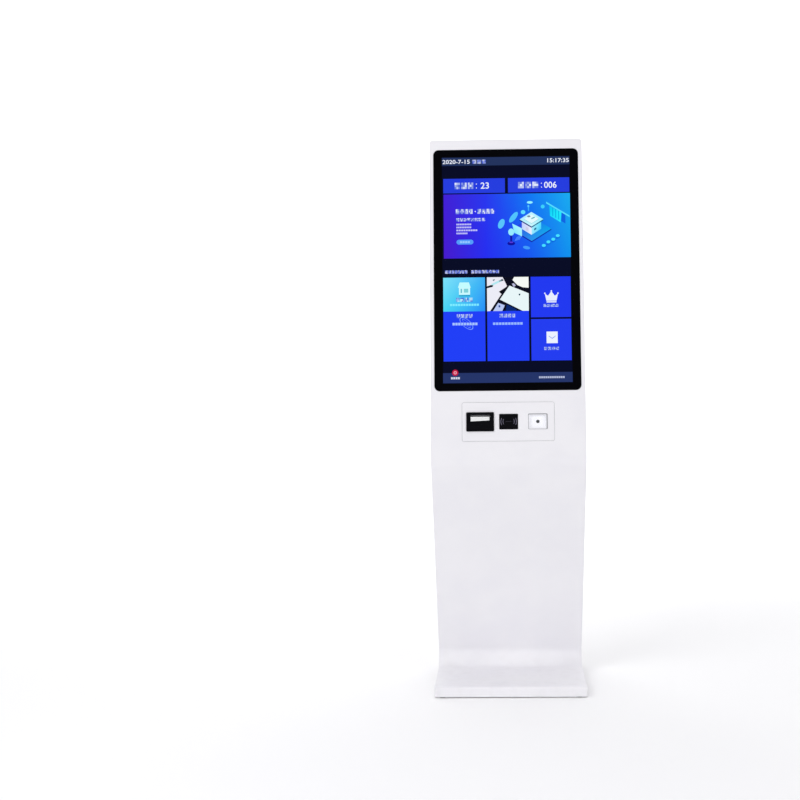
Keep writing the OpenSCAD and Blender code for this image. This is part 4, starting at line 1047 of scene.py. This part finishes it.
def screw_head(face, across, up, out, radius):
    """Rings of a button head: socket floor, hexagon wall, rounded dome, and a flat underside."""
    socket = 0.42 * radius
    rings = [(0.0, 0.22, round_ring), (socket, 0.22, hex_ring), (socket, 0.54, hex_ring)]
    dome = np.linspace(0.56, 0.5 * pi - 0.05, 7)
    rings += [(radius * sin(t), 0.56 * cos(t) ** 0.8, round_ring) for t in dome]
    rings += [(radius, 0.0, round_ring), (0.0, 0.0, round_ring)]
    reach = np.array([r * ring for r, _, ring in rings])
    rise = np.array([height * radius for _, height, _ in rings])
    return face.at(across + reach * np.cos(angle), up + reach * np.sin(angle), out + rise[:, None])


def screws(name, heads, body):
    """Button heads as one piece; their poles are merged and their faces turned outwards."""
    piece = joined(name, heads, wrap=True, smooth=True)
    work = bmesh.new()
    work.from_mesh(piece.data)
    bmesh.ops.remove_doubles(work, verts=work.verts, dist=1e-6)
    bmesh.ops.recalc_face_normals(work, faces=work.faces)
    work.to_mesh(piece.data)
    work.free()
    piece.data.set_sharp_from_angle(angle=radians(40))
    coat(piece, finish_of_slot["bright_steel"])
    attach(piece, body)
    return piece


def groups_of(values, gap):
    """Numbers sorted and split wherever the next one lies further than the gap."""
    ordered = np.sort(values)
    return np.split(ordered, np.flatnonzero(np.diff(ordered) > gap) + 1)


SCREW_RADIUS = 3.1 * MM
SCREW_INSET = 6 * MM
cabinet_heads = []
for body, face, leaves, hinge in (("upper_door_body", head_back, "upper_door_leaves", "upper_door_hinge"),
                                  ("lower_door_body", column_back, "lower_door_leaves", "lower_door_hinge")):
    pin_across, _, _ = face.local(joint[hinge]["pos_m"])
    across, up, out = face.local(points_of(leaves))
    side = np.sign(across.mean() - pin_across)
    reach = abs(across - pin_across).max() - SCREW_INSET
    leaf_out = out[abs(across - pin_across) > reach].max()
    door_heads = []
    for group in groups_of(up, 30 * MM):
        centre, third = (group[0] + group[-1]) / 2, (group[-1] - group[0]) / 3
        for row in (centre - third, centre + third):
            door_heads.append(screw_head(face, pin_across + side * reach, row, leaf_out, SCREW_RADIUS))
            cabinet_heads.append(screw_head(face, pin_across - side * reach, row, leaf_out, SCREW_RADIUS))
    screws(body.replace("body", "screws"), door_heads, body)

guard_x, guard_up, _ = head_back.local(joint["fan_spin"]["pos_m"])
across, up, out = head_back.local(points_of("fan_guard"))
distance = np.hypot(across - guard_x, up - guard_up)
EAR_RADIUS = 5 * MM
ear_reach = distance.max() - EAR_RADIUS
ear_out = out[distance > ear_reach].max()
for quarter in range(4):
    towards = pi / 4 + quarter * pi / 2
    ear_x, ear_up = guard_x + ear_reach * cos(towards), guard_up + ear_reach * sin(towards)
    cabinet_heads.append(screw_head(head_back, ear_x, ear_up, ear_out, SCREW_RADIUS))
screws("cabinet_screws", cabinet_heads, "cabinet")
print("screws on the cabinet:", len(cabinet_heads))

# %% [markdown]
# A paper roll shows its windings on both ends as fine rings round the spindle, so the bump of that
# finish is a sine of the distance from the roll's axis. A circuit board is green only on the board
# itself: whatever stands above it is a dark chip or a pale connector, told apart by its height.

# %% Wound paper and circuit board

_, roll_y, roll_z = joint["roll_turn"]["pos_m"]
wound = Paint("wound_paper")
beside, above = wound.axis("Y") - roll_y, wound.axis("Z") - roll_z
from_spindle = (beside * beside + above * above).root()
waver = wound.noise(60.0, 3.0)
windings = (from_spindle * (2 * pi / (0.55 * MM)) + 2.5 * waver).sine()
bands = wound.node("ShaderNodeTexNoise", {"noise_dimensions": "1D"},
                   {"W": from_spindle, "Scale": 900.0}, "Fac")
wound_tone = wound.mix(bands.eased(0.35, 0.7), tint(240, 240, 238), tint(218, 219, 219))
wound_paper = wound.finish(wound_tone, 0.66 + 0.1 * waver, wound.bump(windings, 0.35, 0.0001))
coat(nodes["paper_roll"], wound_paper)

levels = points_of("display_board") @ -out_of_head
STUD, BOARD, SMALL_CHIP = 5 * MM, 1.6 * MM, 2.4 * MM
board_top = levels.min() + STUD + BOARD
board = Paint("printed_board")
rise = board.height(-out_of_head) - board_top
lacquer = board.noise(90.0, 4.0)
tracks = board.node("ShaderNodeTexBrick", {"offset": 0.35}, {
    "Vector": board.place, "Scale": 60.0, "Mortar Size": 0.06, "Color1": tint(16, 78, 42),
    "Color2": tint(20, 92, 50), "Mortar": tint(42, 118, 66)})
parts = board.mix(rise > SMALL_CHIP + 2.5 * MM, tint(20, 20, 23), tint(214, 208, 190))
board_tone = board.mix(rise > 0.2 * MM, tracks, parts)
printed_board = board.finish(board_tone, 0.3 + 0.16 * lacquer, board.bump(lacquer, 0.2, 0.0001))
coat(nodes["display_board"], printed_board)
print("wound paper and board finished")

# %% [markdown]
# ## Sizes
#
# The looks mustn't change the object's size, so the box of everything is measured and printed next to
# the engineering model's own box.

# %% Print the sizes and finish
low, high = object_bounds()
print("size", [round(v, 4) for v in high - low], "of", [round(v, 4) for v in cad_high - cad_low])
